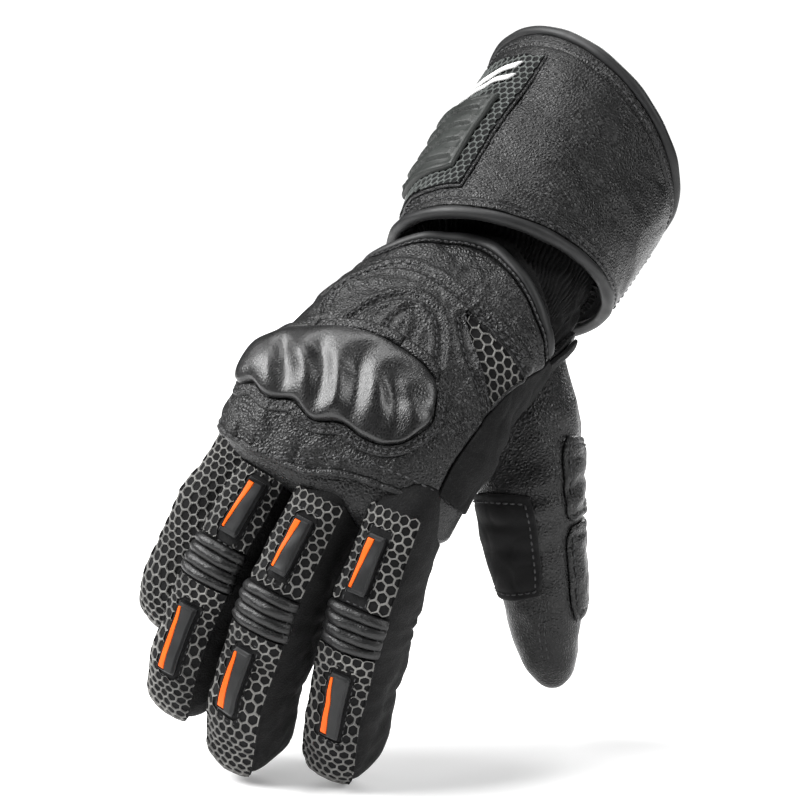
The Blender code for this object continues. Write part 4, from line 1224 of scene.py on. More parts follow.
def insert_piece(insert):
    index = [finger.name for finger, _ in finger_forms].index(insert.finger)
    _, form = finger_forms[index]
    at = finger_at(index)
    slope = 0.05
    start = 0.05
    along = np.concatenate([[0.0, 0.008, 0.018, 0.030, 0.04], [start],
                            [start + 0.006, start + 0.02], np.linspace(start + 0.05, 0.5, 9)])
    along = np.concatenate([along, 1 - along[-2::-1]])[:, None]
    inner = stripe_side(insert, along)
    ones = np.ones_like(inner)
    outer_left = [-1.0, -0.985, -0.95, -0.90, -0.84, -0.78, -0.74]
    columns = [value * ones for value in outer_left]
    columns += [-0.74 + (inner + 0.70) * share for share in (0.35, 0.7)]
    columns += [inner - 0.02, inner, inner + slope, inner + slope + 0.02]
    wall = STRIPE_EDGE
    columns += [(inner + wall) / 2, (wall - slope - 0.02) * ones, (wall - slope) * ones,
                wall * ones, (wall + 0.02) * ones]
    columns += [value * ones for value in (0.93, 0.96, 0.985, 1.0)]
    across = np.concatenate(columns, axis=1)
    along = np.broadcast_to(along, across.shape)
    corner = 0.16 * ramp(0.10, 0.0, np.minimum(along, 1 - along)) ** 2
    station, angle = insert_place(insert, form, along, SLIM * across * (1 - 0.35 * corner))
    bevel = ramp(0, 0.06, np.minimum(along, 1 - along))
    bevel = bevel * np.where(across < 0, ramp(0, 0.24, 1 + across), ramp(0, 0.08, 1 - across))
    height = INSERT_EDGE + (INSERT_HEIGHT - INSERT_EDGE) * bevel
    inside = (across > inner + slope * 0.5) & (across < wall - slope * 0.5)
    inside &= (along > start) & (along < 1 - start)
    height = np.where(inside, INSERT_HEIGHT - STRIPE_DEPTH, height)
    base = NET_TOP + SEWN_GAP
    foot = SEWN_GAP + 0.50 * MM
    pad(f"{insert.finger}_rubber_{insert.part}", at, (station, angle), foot,
        base + height - 0.2 * MM, "dark_rubber", f"{insert.finger}_insert_{insert.part}", sharp=32)
    gap = slope + 0.35 * EDGE_GAP / INSERT_WIDTH
    along, across, crown = rim_grid(14, 0.03, 4, 7, 0.12, 4)
    share = start + 0.012 + (1 - 2 * start - 0.024) * along
    left = stripe_side(insert, share) + gap
    right = wall - gap
    station, angle = insert_place(insert, form, share, SLIM * (left + (right - left) * across))
    top = base + INSERT_HEIGHT - STRIPE_DEPTH - 0.12 * MM + (0.4 + 0.6 * crown) * STRIPE_DEPTH
    low = base + INSERT_HEIGHT - STRIPE_DEPTH - 0.15 * MM
    pad(f"{insert.finger}_orange_{insert.part}", at, (station, angle), low, top, "orange_rubber",
        f"{insert.finger}_stripe_{insert.part}", sharp=40)


# The back of the hand: seams as tables of stations and angles

YOKE_SEAM = ((0.58, 134), (0.50, 139), (0.42, 136), (0.35, 126), (0.315, 112), (0.31, 95),
             (0.325, 78), (0.335, 60), (0.35, 42), (0.36, 27))
ARCH_SEAM = ((0.60, 118), (0.50, 112), (0.435, 102), (0.42, 91), (0.44, 81), (0.50, 73),
             (0.585, 68))
INNER_ARCH = ((0.565, 98), (0.50, 98), (0.468, 95), (0.463, 92), (0.49, 88), (0.56, 85))
HAND_SEAM = ((0.385, 72), (0.445, 64), (0.50, 55), (0.545, 46), (0.585, 38), (0.625, 33))


def back_relief(points, stations):
    lift = 0.0
    for line, deep, wide in BACK_LINES:
        gap = distance(points, line)
        lift = lift - deep * MM * np.exp(-((gap / (wide * MM)) ** 2))
        lift = lift - 0.30 * deep * MM * np.exp(-(((gap - 1.3 * MM) / (0.42 * MM)) ** 2))
        lift = lift + 0.55 * deep * MM * np.exp(-(((gap - 2.5 * MM) / (1.1 * MM)) ** 2))
    below = ramp(0.86, 0.96, stations)
    free = 1 - np.exp(-(((stations - 0.75) / 0.16) ** 2))
    fold = creases(points, 13 * MM, 15, 0.30)
    lift = lift + MM * free * (0.30 + 0.35 * below) * fold
    lift = lift + MM * 0.35 * below * waves(points, 12 * MM, 16)
    return np.maximum(lift + MM * 0.10 * free * waves(points, 6 * MM, 17), -0.75 * MM)


BACK_LINES = [
    (dense(palm_form.skin(*traced(rows)), 1.0 * MM), deep, wide)
    for rows, deep, wide in ((YOKE_SEAM, 1.05, 0.78), (ARCH_SEAM, 0.95, 0.78),
                             (INNER_ARCH, 0.60, 0.7), (HAND_SEAM, 1.05, 0.78))
]


def back_at(stations, angles, lift=0.0):
    stations, angles, lift = grids(stations, angles, lift)
    relief = back_relief(palm_form.skin(stations, angles), stations)
    return palm_at(stations, angles, lift + relief)


def net_sides(angle):
    """The stations of the hexagon window's two sides at an angle."""
    rows = np.array(NET_SIDES)
    return np.interp(angle, rows[:, 0], rows[:, 1]), np.interp(angle, rows[:, 0], rows[:, 2])


def window_outline(grow):
    """The window's outline, wider by a margin in metres: stations and angles."""
    rows = np.array(NET_SIDES)
    room = palm_form.station(grow)
    degrees = grow * ring_degrees(palm_form.skin, 0.45, 45.0)
    turn = np.linspace(rows[0, 0] - degrees * 0.6, rows[-1, 0] + degrees * 1.2, 40)
    top, foot = net_sides(turn)
    stations = np.concatenate([foot + room, (top - room)[::-1]])
    return stations, np.concatenate([turn, turn[::-1]])


def back_cover(beside):
    along, across, rise = rim_grid(140, 0.016, 4, 204, 0.010, 4)
    station, angle = back_place(along, across)
    corner = ramp(0.90, 1.0, along) * ramp(0.92, 1.0, across)
    station = station - palm_form.station(4.5 * MM) * corner
    angle = angle - 2.5 * corner
    low = palm_at(station, angle, SEWN_GAP)
    thick = SKIN * (0.25 + 0.75 * rise)
    relief = back_relief(palm_form.skin(station, angle), station)
    high = palm_at(station, angle, SEWN_GAP + np.maximum(thick + relief * rise, 0.2 * MM))
    form = Form()
    slab(form, low, high)
    body = mesh_piece("hand_back", form, ("black_leather",), ("back_panel",))
    turn = np.linspace(NET_SIDES[0][0] - 0.8, NET_SIDES[-1][0] + 1.5, 34)
    top, foot = net_sides(turn)
    room = palm_form.station(0.5 * MM)
    grid_a = np.stack([turn] * 5, axis=1)
    shares = np.linspace(0, 1, 5)
    grid_s = (foot + room)[:, None] * (1 - shares) + (top - room)[:, None] * shares
    tool = Form()
    slab(tool, palm_at(grid_s, grid_a, 0.1 * MM), palm_at(grid_s, grid_a, 5 * MM))
    cut(body, [cutter_piece("window_hole", tool)] + beside)


def back_window():
    """The hexagon net in the window, and the rolled edge round it."""
    middle = (0.45, 46.0)
    degrees = ring_degrees(palm_form.skin, *middle)
    run = palm_form.length - palm_form.tip
    first, last = NET_SIDES[0][0], NET_SIDES[-1][0]

    def place_on(u, v):
        return middle[0] + np.asarray(v) / run, middle[1] + np.asarray(u) * degrees

    def clamp(u, v, inset):
        angle = middle[1] + u * degrees
        room = inset * degrees
        angle = min(max(angle, first + room), last - room)
        top, foot = net_sides(angle)
        top, foot = top + inset / run, foot - inset / run
        if foot < top:
            top = foot = (top + foot) / 2
        station = min(max(middle[0] + v / run, top), foot)
        return (angle - middle[1]) / degrees, (station - middle[0]) * run

    def on_map(u, v, lift):
        return palm_at(*place_on(u, v), lift)

    form = Form()
    turn = np.linspace(first, last, 48)
    top, foot = net_sides(turn)
    shares = np.linspace(0, 1, 9)
    grid_a = np.stack([turn] * 9, axis=1)
    grid_s = foot[:, None] * (1 - shares) + top[:, None] * shares
    slab(form, palm_at(grid_s, grid_a, SEWN_GAP), palm_at(grid_s, grid_a, SEWN_GAP + 0.3 * MM), 0)
    honeycomb(form, on_map, clamp, (0.0, 0.0), (60 * MM, 40 * MM), 3.7 * MM, 0.56 * MM,
              SEWN_GAP + 0.32 * MM, 0.62 * MM, turn=12)
    mesh_piece("window_mesh", form, ("net_cloth", "net_floor", "grey_net"), ("back_net",),
               "grey_net", 60)
    stations, angles = window_outline(0.55 * MM)
    line = palm_at(stations, angles, PANEL_TOP - 0.45 * MM)
    ups = unit(palm_at(stations, angles, 3 * MM) - palm_at(stations, angles, 1 * MM))
    edge_cord("window_edge", line, ups, 0.62 * MM)


def finger_hem():
    """The turned and gathered edge of the back leather over the finger roots."""
    across = np.linspace(0.02, 0.93, 240)
    stations, angles = back_place(np.full_like(across, 1.0), across)
    stations = stations + palm_form.station(0.5 * MM)
    pucker = 0.22 * MM * waves(palm_form.skin(stations, angles), 6 * MM, 18)
    line = palm_at(stations, angles, SEWN_GAP + 0.75 * MM + pucker)
    ups = unit(palm_at(stations, angles, 3 * MM) - palm_at(stations, angles, 1 * MM))
    form = Form()
    cord(form, line, 1.15 * MM + 0.6 * pucker, 10, ups, flat=0.85)
    mesh_piece("finger_hem", form, ("black_leather",))


def guard_outline():
    rows = list(GUARD_EDGES)
    line = [((row[1] + row[2]) / 2, row[0] - 0.6) for row in rows[:1]]
    line += [(row[2], row[0]) for row in rows[1:-1]]
    line += [((rows[-1][1] + rows[-1][2]) / 2, rows[-1][0] + 0.6)]
    line += [(row[1], row[0]) for row in rows[-2:0:-1]]
    return line


# The valleys between the guard's ridges: their angle higher up and at the lower edge
GUARD_VALLEYS = ((80, 70), (98, 90.5), (116, 105), (134, 122))


def guard_pad():
    """The moulded guard: four ridges over the knuckles under one smooth crown."""
    along, across, rim = rim_grid(70, 0.02, 3, 124, 0.010, 3)
    station, angle = guard_place(along, across)
    upper, lower = np.array(GUARD_VALLEYS, float).T
    lines = upper + (lower - upper) * ramp(0.30, 0.95, along)[..., None]
    away = np.min(np.abs(angle[..., None] - lines), axis=-1) / 9.0
    ridge = (0.5 - 0.5 * np.cos(math.pi * np.clip(away, 0, 1))) ** 0.92
    deep = ramp(0.12, 0.58, along) * (1 - 0.2 * ramp(0.94, 1.0, along))
    arch_long = np.clip(np.sin(math.pi * np.clip(along, 0, 1) ** 1.12), 0, 1) ** 0.42
    arch_wide = np.clip(np.sin(math.pi * across), 0, 1) ** 0.36
    dome = arch_long * arch_wide
    flat = 0.86 + 0.14 * ramp(0.2, 0.7, along)
    points = palm_form.skin(station, angle)
    height = GUARD_EDGE + (GUARD_HEIGHT - GUARD_EDGE) * dome * flat * (
        1 - 0.56 * deep * (1 - ridge))
    height = height + 0.16 * MM * dome * waves(points, 12 * MM, 51)
    height = 0.3 * MM + (height - 0.3 * MM) * rim
    pad("guard", palm_at, (station, angle), SECOND_LAYER, SECOND_LAYER + height, "guard_leather",
        "knuckle_guard", sharp=60, fill=0.9)


def guard_flange():
    """The stitched leather lip outside the guard's lower edge and ends."""
    rows = guard_outline()
    count = len(GUARD_EDGES)
    open_rows = [rows[-1], *rows[:count], rows[count]]
    stations, angles = traced(open_rows, 260)
    stations, angles = softened(stations, 8), softened(angles, 8)
    grid_s, grid_a = [], []
    shares = np.array([0.0, 0.03, 0.12, 0.3, 0.5, 0.7, 0.88, 0.97, 1.0])
    for share in shares:
        s, a = beside_line(palm_form.skin, stations, angles, (0.15 + 3.6 * share) * MM)
        grid_s.append(softened(s, 4))
        grid_a.append(softened(a, 4))
    grid_s, grid_a = np.array(grid_s), np.array(grid_a)
    rise = rounded(shares, 0.14)[:, None]
    dip = 0.16 * MM * (np.exp(-(((shares - 0.33) / 0.09) ** 2))
                       + np.exp(-(((shares - 0.72) / 0.09) ** 2)))[:, None]
    pad("guard_lip", back_at, (grid_s, grid_a), PANEL_TOP + 0.06 * MM,
        PANEL_TOP + 0.10 * MM + 0.75 * MM * rise - dip, "black_leather")
    thread = Form()
    for share in (0.33, 0.72):
        s, a = beside_line(palm_form.skin, stations, angles, (0.15 + 3.6 * share) * MM)
        stitches(thread, back_at, softened(s, 4), softened(a, 4), PANEL_TOP + 0.62 * MM,
                 pitch=2.4 * MM, length=1.75 * MM)
    thread_piece("guard_stitches", thread)


def guard_strap():
    """The folded strip along the guard's upper edge, with two joints in it."""
    along, across = lattice(rim_shares(14, 0.16, 5), rim_shares(120, 0.008, 3))
    station, angle = guard_place(np.zeros_like(along), 0.06 + 0.88 * across)
    station = station - palm_form.station(EDGE_GAP) - palm_form.station(BAND_WIDTH) * (1 - along)
    rise = rounded(along, 0.30) * rounded(across, 0.008)
    points = palm_form.skin(station, angle)
    height = SKIN * (0.25 + 1.0 * rise) + 0.10 * MM * waves(points, 9 * MM, 53)
    for place_of in (0.24, 0.70):
        height = height - 0.75 * MM * np.exp(-(((across - place_of) / 0.006) ** 2))
    height = np.maximum(height, 0.3 * MM)
    low = SECOND_LAYER - 0.35 * MM
    pad("guard_strip", palm_at, (station, angle), low, low + height, "black_leather", "guard_band")


def back_threads():
    thread = Form()
    top = PANEL_TOP + 0.10 * MM
    for rows, sides in ((YOKE_SEAM, (-1.3, 1.3)), (ARCH_SEAM, (-1.3, 1.3)),
                        (HAND_SEAM, (-1.3, 1.3)), (INNER_ARCH, (0.8,))):
        for side in sides:
            stations, angles = traced(rows)
            stations, angles = beside_line(palm_form.skin, stations, angles, side * MM)
            stitches(thread, back_at, stations, angles, top)
    stations, angles = window_outline(2.0 * MM)
    upper = slice(44, 80)
    stitches(thread, back_at, stations[upper], angles[upper], top)
    across = np.linspace(0.02, 0.93, 200)
    stitches(thread, back_at, *back_place(np.full_like(across, 0.962), across), top)
    thread_piece("back_stitches", thread)


def strip_piece(beside):
    along, across, rise = rim_grid(84, 0.01, 3, 34, 0.03, 3)
    start = rim_of_palm(STRIP_FOOT[0][1] + (STRIP_TOP[0][1] - STRIP_FOOT[0][1]) * across)
    start = start + palm_form.station(2 * MM)
    station = start + (0.905 - start) * along
    first = table(STRIP_FOOT, station)
    last = table(STRIP_TOP, station)
    angle = first + (last - first) * across
    points = palm_form.skin(station, angle)
    soft = 0.22 * waves(points, 16 * MM, 81) + 0.35 * creases(points, 18 * MM, 82, 0.3)
    high = 1.3 * SEWN_GAP + SKIN * (0.3 + 0.7 * rise) + MM * rise * np.clip(soft, -0.5, 0.5)
    cut(pad("thumb_side_strip", palm_at, (station, angle), 1.3 * SEWN_GAP, high, "black_softshell",
            "side_strip"), beside)


def wrist_edge():
    """The grey roll along the wrist, and the stitched hem beside it."""
    across = rim_shares(150, 0.006, 3)
    angle_line = 12 + (BACK_EDGE_ANGLE - 12) * across
    width = palm_form.station(ROLL_WIDTH)
    edge = table(WRIST_LINE, angle_line) - palm_form.station(EDGE_GAP) - width
    form = Form()
    turn = np.linspace(0, 1, 13)
    share = 0.74 * 0.5 * (1 - np.cos(math.pi * turn))
    height = 0.86 * ROLL_HEIGHT * (0.08 + 0.92 * np.sin(math.pi * turn) ** 0.5)
    ends = (0.35 + 0.65 * rounded(across, 0.006))[None, :]
    station = edge[None, :] + width * share[:, None]
    angle = angle_line[None, :] + 0 * station
    high = palm_at(station, angle, SEWN_GAP + height[:, None] * ends)
    slab(form, palm_at(station, angle, SEWN_GAP), high, 0)
    share = 0.76 + 0.23 * np.linspace(0, 1, 8)
    height = 1.1 * MM * (0.35 + 0.65 * rounded(np.linspace(0, 1, 8), 0.2))
    station = edge[None, :] + width * share[:, None]
    angle = angle_line[None, :] + 0 * station
    high = palm_at(station, angle, SEWN_GAP + height[:, None] * ends)
    slab(form, palm_at(station, angle, SEWN_GAP), high, 1)
    mesh_piece("wrist_roll", form, ("grey_piping", "black_leather"), ("wrist_piping",),
               "grey_piping", 50)
    thread = Form()
    stitches(thread, palm_at, (edge + width * 0.875)[4:-4], angle_line[4:-4],
             SEWN_GAP + 1.02 * MM, pitch=2.3 * MM, length=1.6 * MM)
    thread_piece("wrist_stitches", thread)


# The thumb's panels


def thumb_panel(name, node, stations_of, angles_of, height, finish, fill=None):
    along, across, rise = rim_grid(46, 0.04, 4, 46, 0.04, 4)
    station, angle = stations_of(along, across), angles_of(along, across)
    lift = height(along, across, rise, thumb_form.skin(station, angle))
    pad(name, thumb_at, (station, angle), SEWN_GAP, SEWN_GAP + lift, finish, node, sharp=55,
        fill=fill)


def thumb_details():
    def patch_station(along, across):
        return 0.63 + 0.165 * (2 * along - 1) * (1 - 0.10 * (2 * across - 1) ** 2)

    def patch_angle(along, across):
        return 226 + 58 * (2 * across - 1) * (1 - 0.12 * (2 * along - 1) ** 4)

    def patch_height(along, across, rise, points):
        soft = 0.12 * waves(points, 9 * MM, 83) + 0.22 * creases(points, 14 * MM, 84, 0.3)
        seam = -0.3 * np.exp(-(((np.minimum(along, 1 - along) - 0.075) / 0.02) ** 2))
        return SKIN * (0.3 + 0.7 * rise) + MM * rise * np.clip(soft + seam, -0.5, 0.4)

    thumb_panel("thumb_grip", "thumb_patch", patch_station, patch_angle, patch_height,
                "black_suede")
    thread = Form()
    t = np.linspace(0, 1, 90)
    low, high = 0.07, 0.93
    loop = np.concatenate([
        np.stack([low + (high - low) * t, np.full(90, low)], 1),
        np.stack([np.full(90, high), low + (high - low) * t], 1),
        np.stack([high - (high - low) * t, np.full(90, high)], 1),
        np.stack([np.full(90, low), high - (high - low) * t], 1)])
    stitches(thread, thumb_at, patch_station(loop[:, 0], loop[:, 1]),
             patch_angle(loop[:, 0], loop[:, 1]), SEWN_GAP + SKIN - 0.15 * MM, pitch=2.5 * MM)
    for name, first, last in THUMB_PADS:
        def pad_station(along, across):
            return first + (last - first) * along

        def pad_angle(along, across):
            return 96 + 38 * (2 * across - 1) * (1 - 0.25 * (2 * along - 1) ** 4)

        def pad_height(along, across, rise, points):
            swell = np.sin(np.pi * along) ** 0.5 * np.sin(np.pi * across) ** 0.5
            border = np.minimum(np.minimum(along, 1 - along), np.minimum(across, 1 - across))
            groove = -0.45 * np.exp(-(((border - 0.105) / 0.022) ** 2))
            soft = 0.14 * waves(points, 8 * MM, 85) + 0.2 * creases(points, 10 * MM, 86, 0.3)
            full = THUMB_PAD_HEIGHT * (0.35 + 0.65 * swell)
            return 0.2 * MM + (full - 0.2 * MM) * rise + MM * rise * (groove + soft)

        thumb_panel(name.replace("thumb_pad", "thumb_cushion"), name, pad_station, pad_angle,
                    pad_height, "black_leather", 0.6)
        for side in (0.10, 0.90):
            line = np.linspace(0.10, 0.90, 120)
            stitches(thread, thumb_at, pad_station(line, 0), pad_angle(line, np.full(120, side)),
                     SEWN_GAP + 0.95 * MM, pitch=2.5 * MM)
        line = np.linspace(0.10, 0.90, 120)
        end = 0.90 if name.endswith("lower") else 0.10
        stitches(thread, thumb_at, pad_station(np.full(120, end), 0),
                 pad_angle(np.full(120, end), line), SEWN_GAP + 0.95 * MM, pitch=2.5 * MM)
    for rows in (((0.13, 140), (0.19, 152), (0.25, 164), (0.31, 180), (0.38, 200)),
                 ((0.79, 170), (0.84, 178), (0.90, 184), (1.00, 186)),
                 ((0.16, 20), (0.35, 14), (0.60, 12), (0.85, 16), (1.0, 22))):
        stations, angles = traced(rows)
        for side in (0.0, 1.9):
            moved = beside_line(thumb_form.skin, stations, angles, side * MM)
            stitches(thread, thumb_at, *moved, 0.02 * MM, thread=0.23 * MM)
    thread_piece("thumb_stitches", thread)


# The wrist and the cuff


def gather_sleeve():
    seat = GATHER_SEAT * CUFF_AXIS - [0.0, 0.0, CUFF_DROP]
    mouth = CUFF_START * CUFF_AXIS - [0.0, 0.0, CUFF_DROP / 2]
    middle = PALM_SECTIONS[0].across * PALM_WIDTH
    points = [seat, mouth, in_hand(0, middle, 0), in_hand(GATHER_REACH, middle, 0)]
    backs = [unit(BACK - (BACK @ CUFF_AXIS) * CUFF_AXIS), BACK, BACK, BACK]
    width, depth = GATHER_WIDTH / 2, GATHER_DEPTH / 2
    travel = travel_of(points)
    sizes = ((1.15, 1.7, 1.7), (1.06, 1.3, 1.2), (1.0, 0.97, 0.88), (1.0, 0.97, 0.88))
    sections = [Section(share, wide * width, back * depth, palm * depth)
                for share, (wide, back, palm) in zip(travel / travel[-1], sizes)]
    tube = Tube(points, backs, sections, 2.2)
    count = 384
    angles = round_angles(count)
    in_cuff = (GATHER_SEAT - CUFF_START) / CUFF_LENGTH
    rim = rim_of_palm(angles) * (palm_form.length - palm_form.tip)
    first = 0.36
    last = 1 - (GATHER_REACH - rim + 5 * MM) / tube.length
    control = [cuff_at(in_cuff, 180 + CUFF_TURN - angles, -CUFF_WALL - SEWN_GAP)]
    for part in (0.0, 0.45, 0.9):
        control.append(tube.at(first + (last - first) * part, angles, 0.0))
    for overlap in (-3 * MM, GATHER_OVERLAP):
        control.append(palm_at(rim_of_palm(angles) + palm_form.station(overlap), angles,
                               -PALM_WALL - SEWN_GAP))
    control = np.array(control)
    places = np.concatenate([np.linspace(0, 1, 12), np.linspace(1, 4, 52)[1:], [4.5, 5.0]])
    smooth_rows = smooth(np.arange(6), control.reshape(6, -1), places).reshape(-1, count, 3)
    along = np.gradient(smooth_rows, axis=0)
    around = np.roll(smooth_rows, -1, axis=1) - np.roll(smooth_rows, 1, axis=1)
    out = unit(np.cross(around, along))
    turn = np.radians(angles)[None, :]
    place_of = places[:, None]
    wander = 0.55 * waves(smooth_rows, 22 * MM, 91) + 0.35 * waves(smooth_rows, 9 * MM, 92)
    phase = 46 * turn + 1.5 * place_of + 1.3 * wander
    pleat = np.abs(np.sin(phase)) ** 0.75
    fine = np.abs(np.sin(92 * turn - 2.2 * place_of + 1.6 * wander)) ** 0.8
    wide_fold = np.clip(0.5 + 0.5 * waves(smooth_rows, 13 * MM, 93), 0, 1)
    rows_of_elastic = 0.5 + 0.5 * np.cos(2 * math.pi * (place_of - 1) / 0.75)
    free = ramp(0.25, 1.1, place_of) * (1 - ramp(3.35, 3.95, place_of))
    deep = 0.95 * (1 - pleat) + 0.35 * (1 - fine) + 0.75 * wide_fold
    deep = deep * (1 - 0.25 * rows_of_elastic) + 0.42 * rows_of_elastic
    outer = smooth_rows - out * (MM * free * deep)[..., None]
    inner = smooth_rows - out * (2.9 * MM * free + GATHER_WALL * (1 - free))[..., None]
    form = Form()
    sleeve(form, outer, inner)
    mesh_piece("gathered_wrist", form, ("black_softshell", "lining"), ("wrist_gather",),
               "black_softshell", 70)


CUFF_NET_EDGES = (0.10, 0.82, 62.0, 126.0)


def cuff_spot(along, across):
    """Share and angle of the cuff's net panel: 0 to 1 up it and 0 to 1 across it."""
    low, high, first, last = CUFF_NET_EDGES
    return low + (high - low) * along, first + (last - first) * across + 6 * (along - 0.5)


def cuff_body():
    count = 200
    angles = round_angles(count)
    edge = 2 * PIPING_RADIUS + EDGE_GAP
    shares = np.concatenate([[0.0, 0.004, 0.012, 0.022, 0.034, 0.044, 0.054, 0.066, 0.08],
                             np.linspace(0.10, 0.90, 46),
                             [0.915, 0.925, 0.935, 0.945, 0.955, 0.968, 0.98, 0.99, 0.996, 1.0]])
    share, angle = lattice(shares, angles)
    points = cuff_at(share, angle)
    fold = 0.55 * np.exp(-(((share - 0.052) / 0.008) ** 2))
    fold = fold + 0.55 * np.exp(-(((share - 0.935) / 0.008) ** 2))
    seam_gap = distance(points, dense(cuff_at(np.linspace(0, 1, 80), np.full(80, 262.0))))
    fold = fold + 0.7 * np.exp(-((seam_gap / (0.9 * MM)) ** 2))
    fold = fold + 0.22 * -creases(points, 26 * MM, 74, 0.25)
    ends = 0.6 * (1 - rounded(share, 0.012))
    outer = cuff_skin(share, angle, -MM * (fold + ends), -edge * share)
    inner = cuff_at(share, angle, -CUFF_WALL + 0 * share, -edge * share)
    form = Form()
    sleeve(form, outer, inner)
    mesh_piece("cuff", form, ("black_leather", "lining"), ("gauntlet_cuff",))
    for name, node, at_share, shift in (
            ("cuff_lower_roll", "cuff_lower_piping", 0.0, -PIPING_RADIUS - EDGE_GAP),
            ("cuff_upper_roll", "cuff_upper_piping", 1.0, -PIPING_RADIUS)):
        line = cuff_at(at_share, round_angles(240), -CUFF_WALL / 2, shift)
        soft = 0.12 * MM * waves(line, 14 * MM, 75)
        form = Form()
        cord(form, line, PIPING_RADIUS + soft, 16, np.broadcast_to(CUFF_AXIS, line.shape), True)
        mesh_piece(name, form, ("grey_piping",), (node,), "grey_piping", 60)
    thread = Form()

    def on_cuff(stations, turns, lift):
        return cuff_skin(stations, turns, lift, -edge * np.asarray(stations, float))

    ring_angles = np.linspace(0, 360, 361)
    for at_share in (0.034, 0.955):
        stitches(thread, on_cuff, np.full(361, at_share), ring_angles, -0.03 * MM,
                 pitch=3.0 * MM, length=2.1 * MM)
    for side in (-2.2, 2.2):
        stitches(thread, on_cuff, np.linspace(0.08, 0.92, 200), np.full(200, 262.0 + side),
                 -0.03 * MM, pitch=3.0 * MM, length=2.1 * MM)
    t = np.linspace(0, 1, 120)
    for first, last in (((0, 0), (1, 0)), ((1, 0), (1, 1)), ((1, 1), (0, 1)), ((0, 1), (0, 0))):
        along = first[0] + (last[0] - first[0]) * t
        across = first[1] + (last[1] - first[1]) * t
        share, angle = cuff_spot(0.5 + (along - 0.5) * 1.075, 0.5 + (across - 0.5) * 1.085)
        stitches(thread, on_cuff, share, angle, 0.02 * MM, pitch=2.8 * MM)
    thread_piece("cuff_stitches", thread)


def cuff_panel():
    """The net panel, a ribbed rubber plate and two plain slanted bars on the cuff."""
    low, high, first, last = CUFF_NET_EDGES
    middle = ((low + high) / 2, (first + last) / 2)
    radius = CUFF_WIDTH / 2 * 1.04
    tall = CUFF_LENGTH * 1.14
    half_u = math.radians(last - first) / 2 * radius
    half_v = (high - low) / 2 * tall

    def place_on(u, v):
        share = middle[0] + np.asarray(v) / tall
        lean = 6 * ((share - low) / (high - low) - 0.5)
        return share, middle[1] + np.degrees(np.asarray(u) / radius) + lean

    def clamp(u, v, inset):
        return (min(max(u, -half_u + inset), half_u - inset),
                min(max(v, -half_v + inset), half_v - inset))

    def on_map(u, v, lift):
        return cuff_skin(*place_on(u, v), lift)

    form = Form()
    along, across = lattice(np.linspace(-1, 1, 40), np.linspace(-1, 1, 40))
    share, angle = place_on(across * half_u, along * half_v)
    slab(form, cuff_skin(share, angle, SEWN_GAP), cuff_skin(share, angle, SEWN_GAP + 0.35 * MM), 0)
    honeycomb(form, on_map, clamp, (0.0, 0.0), (2 * half_u, 2 * half_v), 2.8 * MM, 0.60 * MM,
              SEWN_GAP + 0.37 * MM, 0.62 * MM, turn=6)
    mesh_piece("cuff_mesh", form, ("net_cloth", "net_floor", "cuff_net_line"), ("cuff_net",),
               "grey_net", 60)
    t = np.linspace(-1, 1, 60)
    grow = 0.45 * MM
    u = np.concatenate([t * (half_u + grow), np.full(60, half_u + grow),
                        -t * (half_u + grow), np.full(60, -half_u - grow)])
    v = np.concatenate([np.full(60, -half_v - grow), t * (half_v + grow),
                        np.full(60, half_v + grow), -t * (half_v + grow)])
    share, angle = place_on(u, v)
    line = cuff_skin(share, angle, 0.45 * MM)
    ups = unit(cuff_skin(share, angle, 1.0 * MM) - cuff_skin(share, angle, 0.0))
    edge_cord("cuff_mesh_edge", line, ups, 0.6 * MM)
    base = NET_TOP + SEWN_GAP - 0.45 * MM
    along, across, rim = rim_grid(76, 0.03, 4, 44, 0.04, 4)
    share = 0.17 + 0.38 * along + 0.04 * (across - 0.5)
    angle = 74 + 42 * across + 4 * (along - 0.5)
    slant = along + 0.10 * (across - 0.5)
    inside = ramp(0.05, 0.09, np.minimum(across, 1 - across)) * ramp(
        0.04, 0.07, np.minimum(along, 1 - along))
    rib = ramp(-0.25, 0.45, np.sin(2 * math.pi * (4.5 * slant + 0.32)))
    frame_rise = 1 - inside
    rise = 0.35 * frame_rise + inside * (0.10 + 0.90 * rib)
    height = RIB_PLATE_EDGE * 0.9 + (RIB_PLATE_HEIGHT - 0.9 * RIB_PLATE_EDGE) * rise
    height = 0.3 * MM + (height - 0.3 * MM) * rim
    pad("cuff_plate", cuff_skin, (share, angle), base, base + height + 0.3 * MM, "grey_rubber",
        "cuff_rib_plate", sharp=50)
    for name, node, middle_share in (("cuff_line_upper", "cuff_bar_upper", 0.725),
                                     ("cuff_line_lower", "cuff_bar_lower", 0.655)):
        along, across, rise = rim_grid(8, 0.2, 4, 40, 0.03, 4)
        share = middle_share + 0.032 * (along - 0.5) + 0.06 * (across - 0.5)
        angle = 84 + 34 * across + 3 * (along - 0.5)
        height = BAR_HEIGHT * (0.3 + 0.7 * rise)
        pad(name, cuff_skin, (share, angle), base, base + height, "white_print", node, sharp=50)


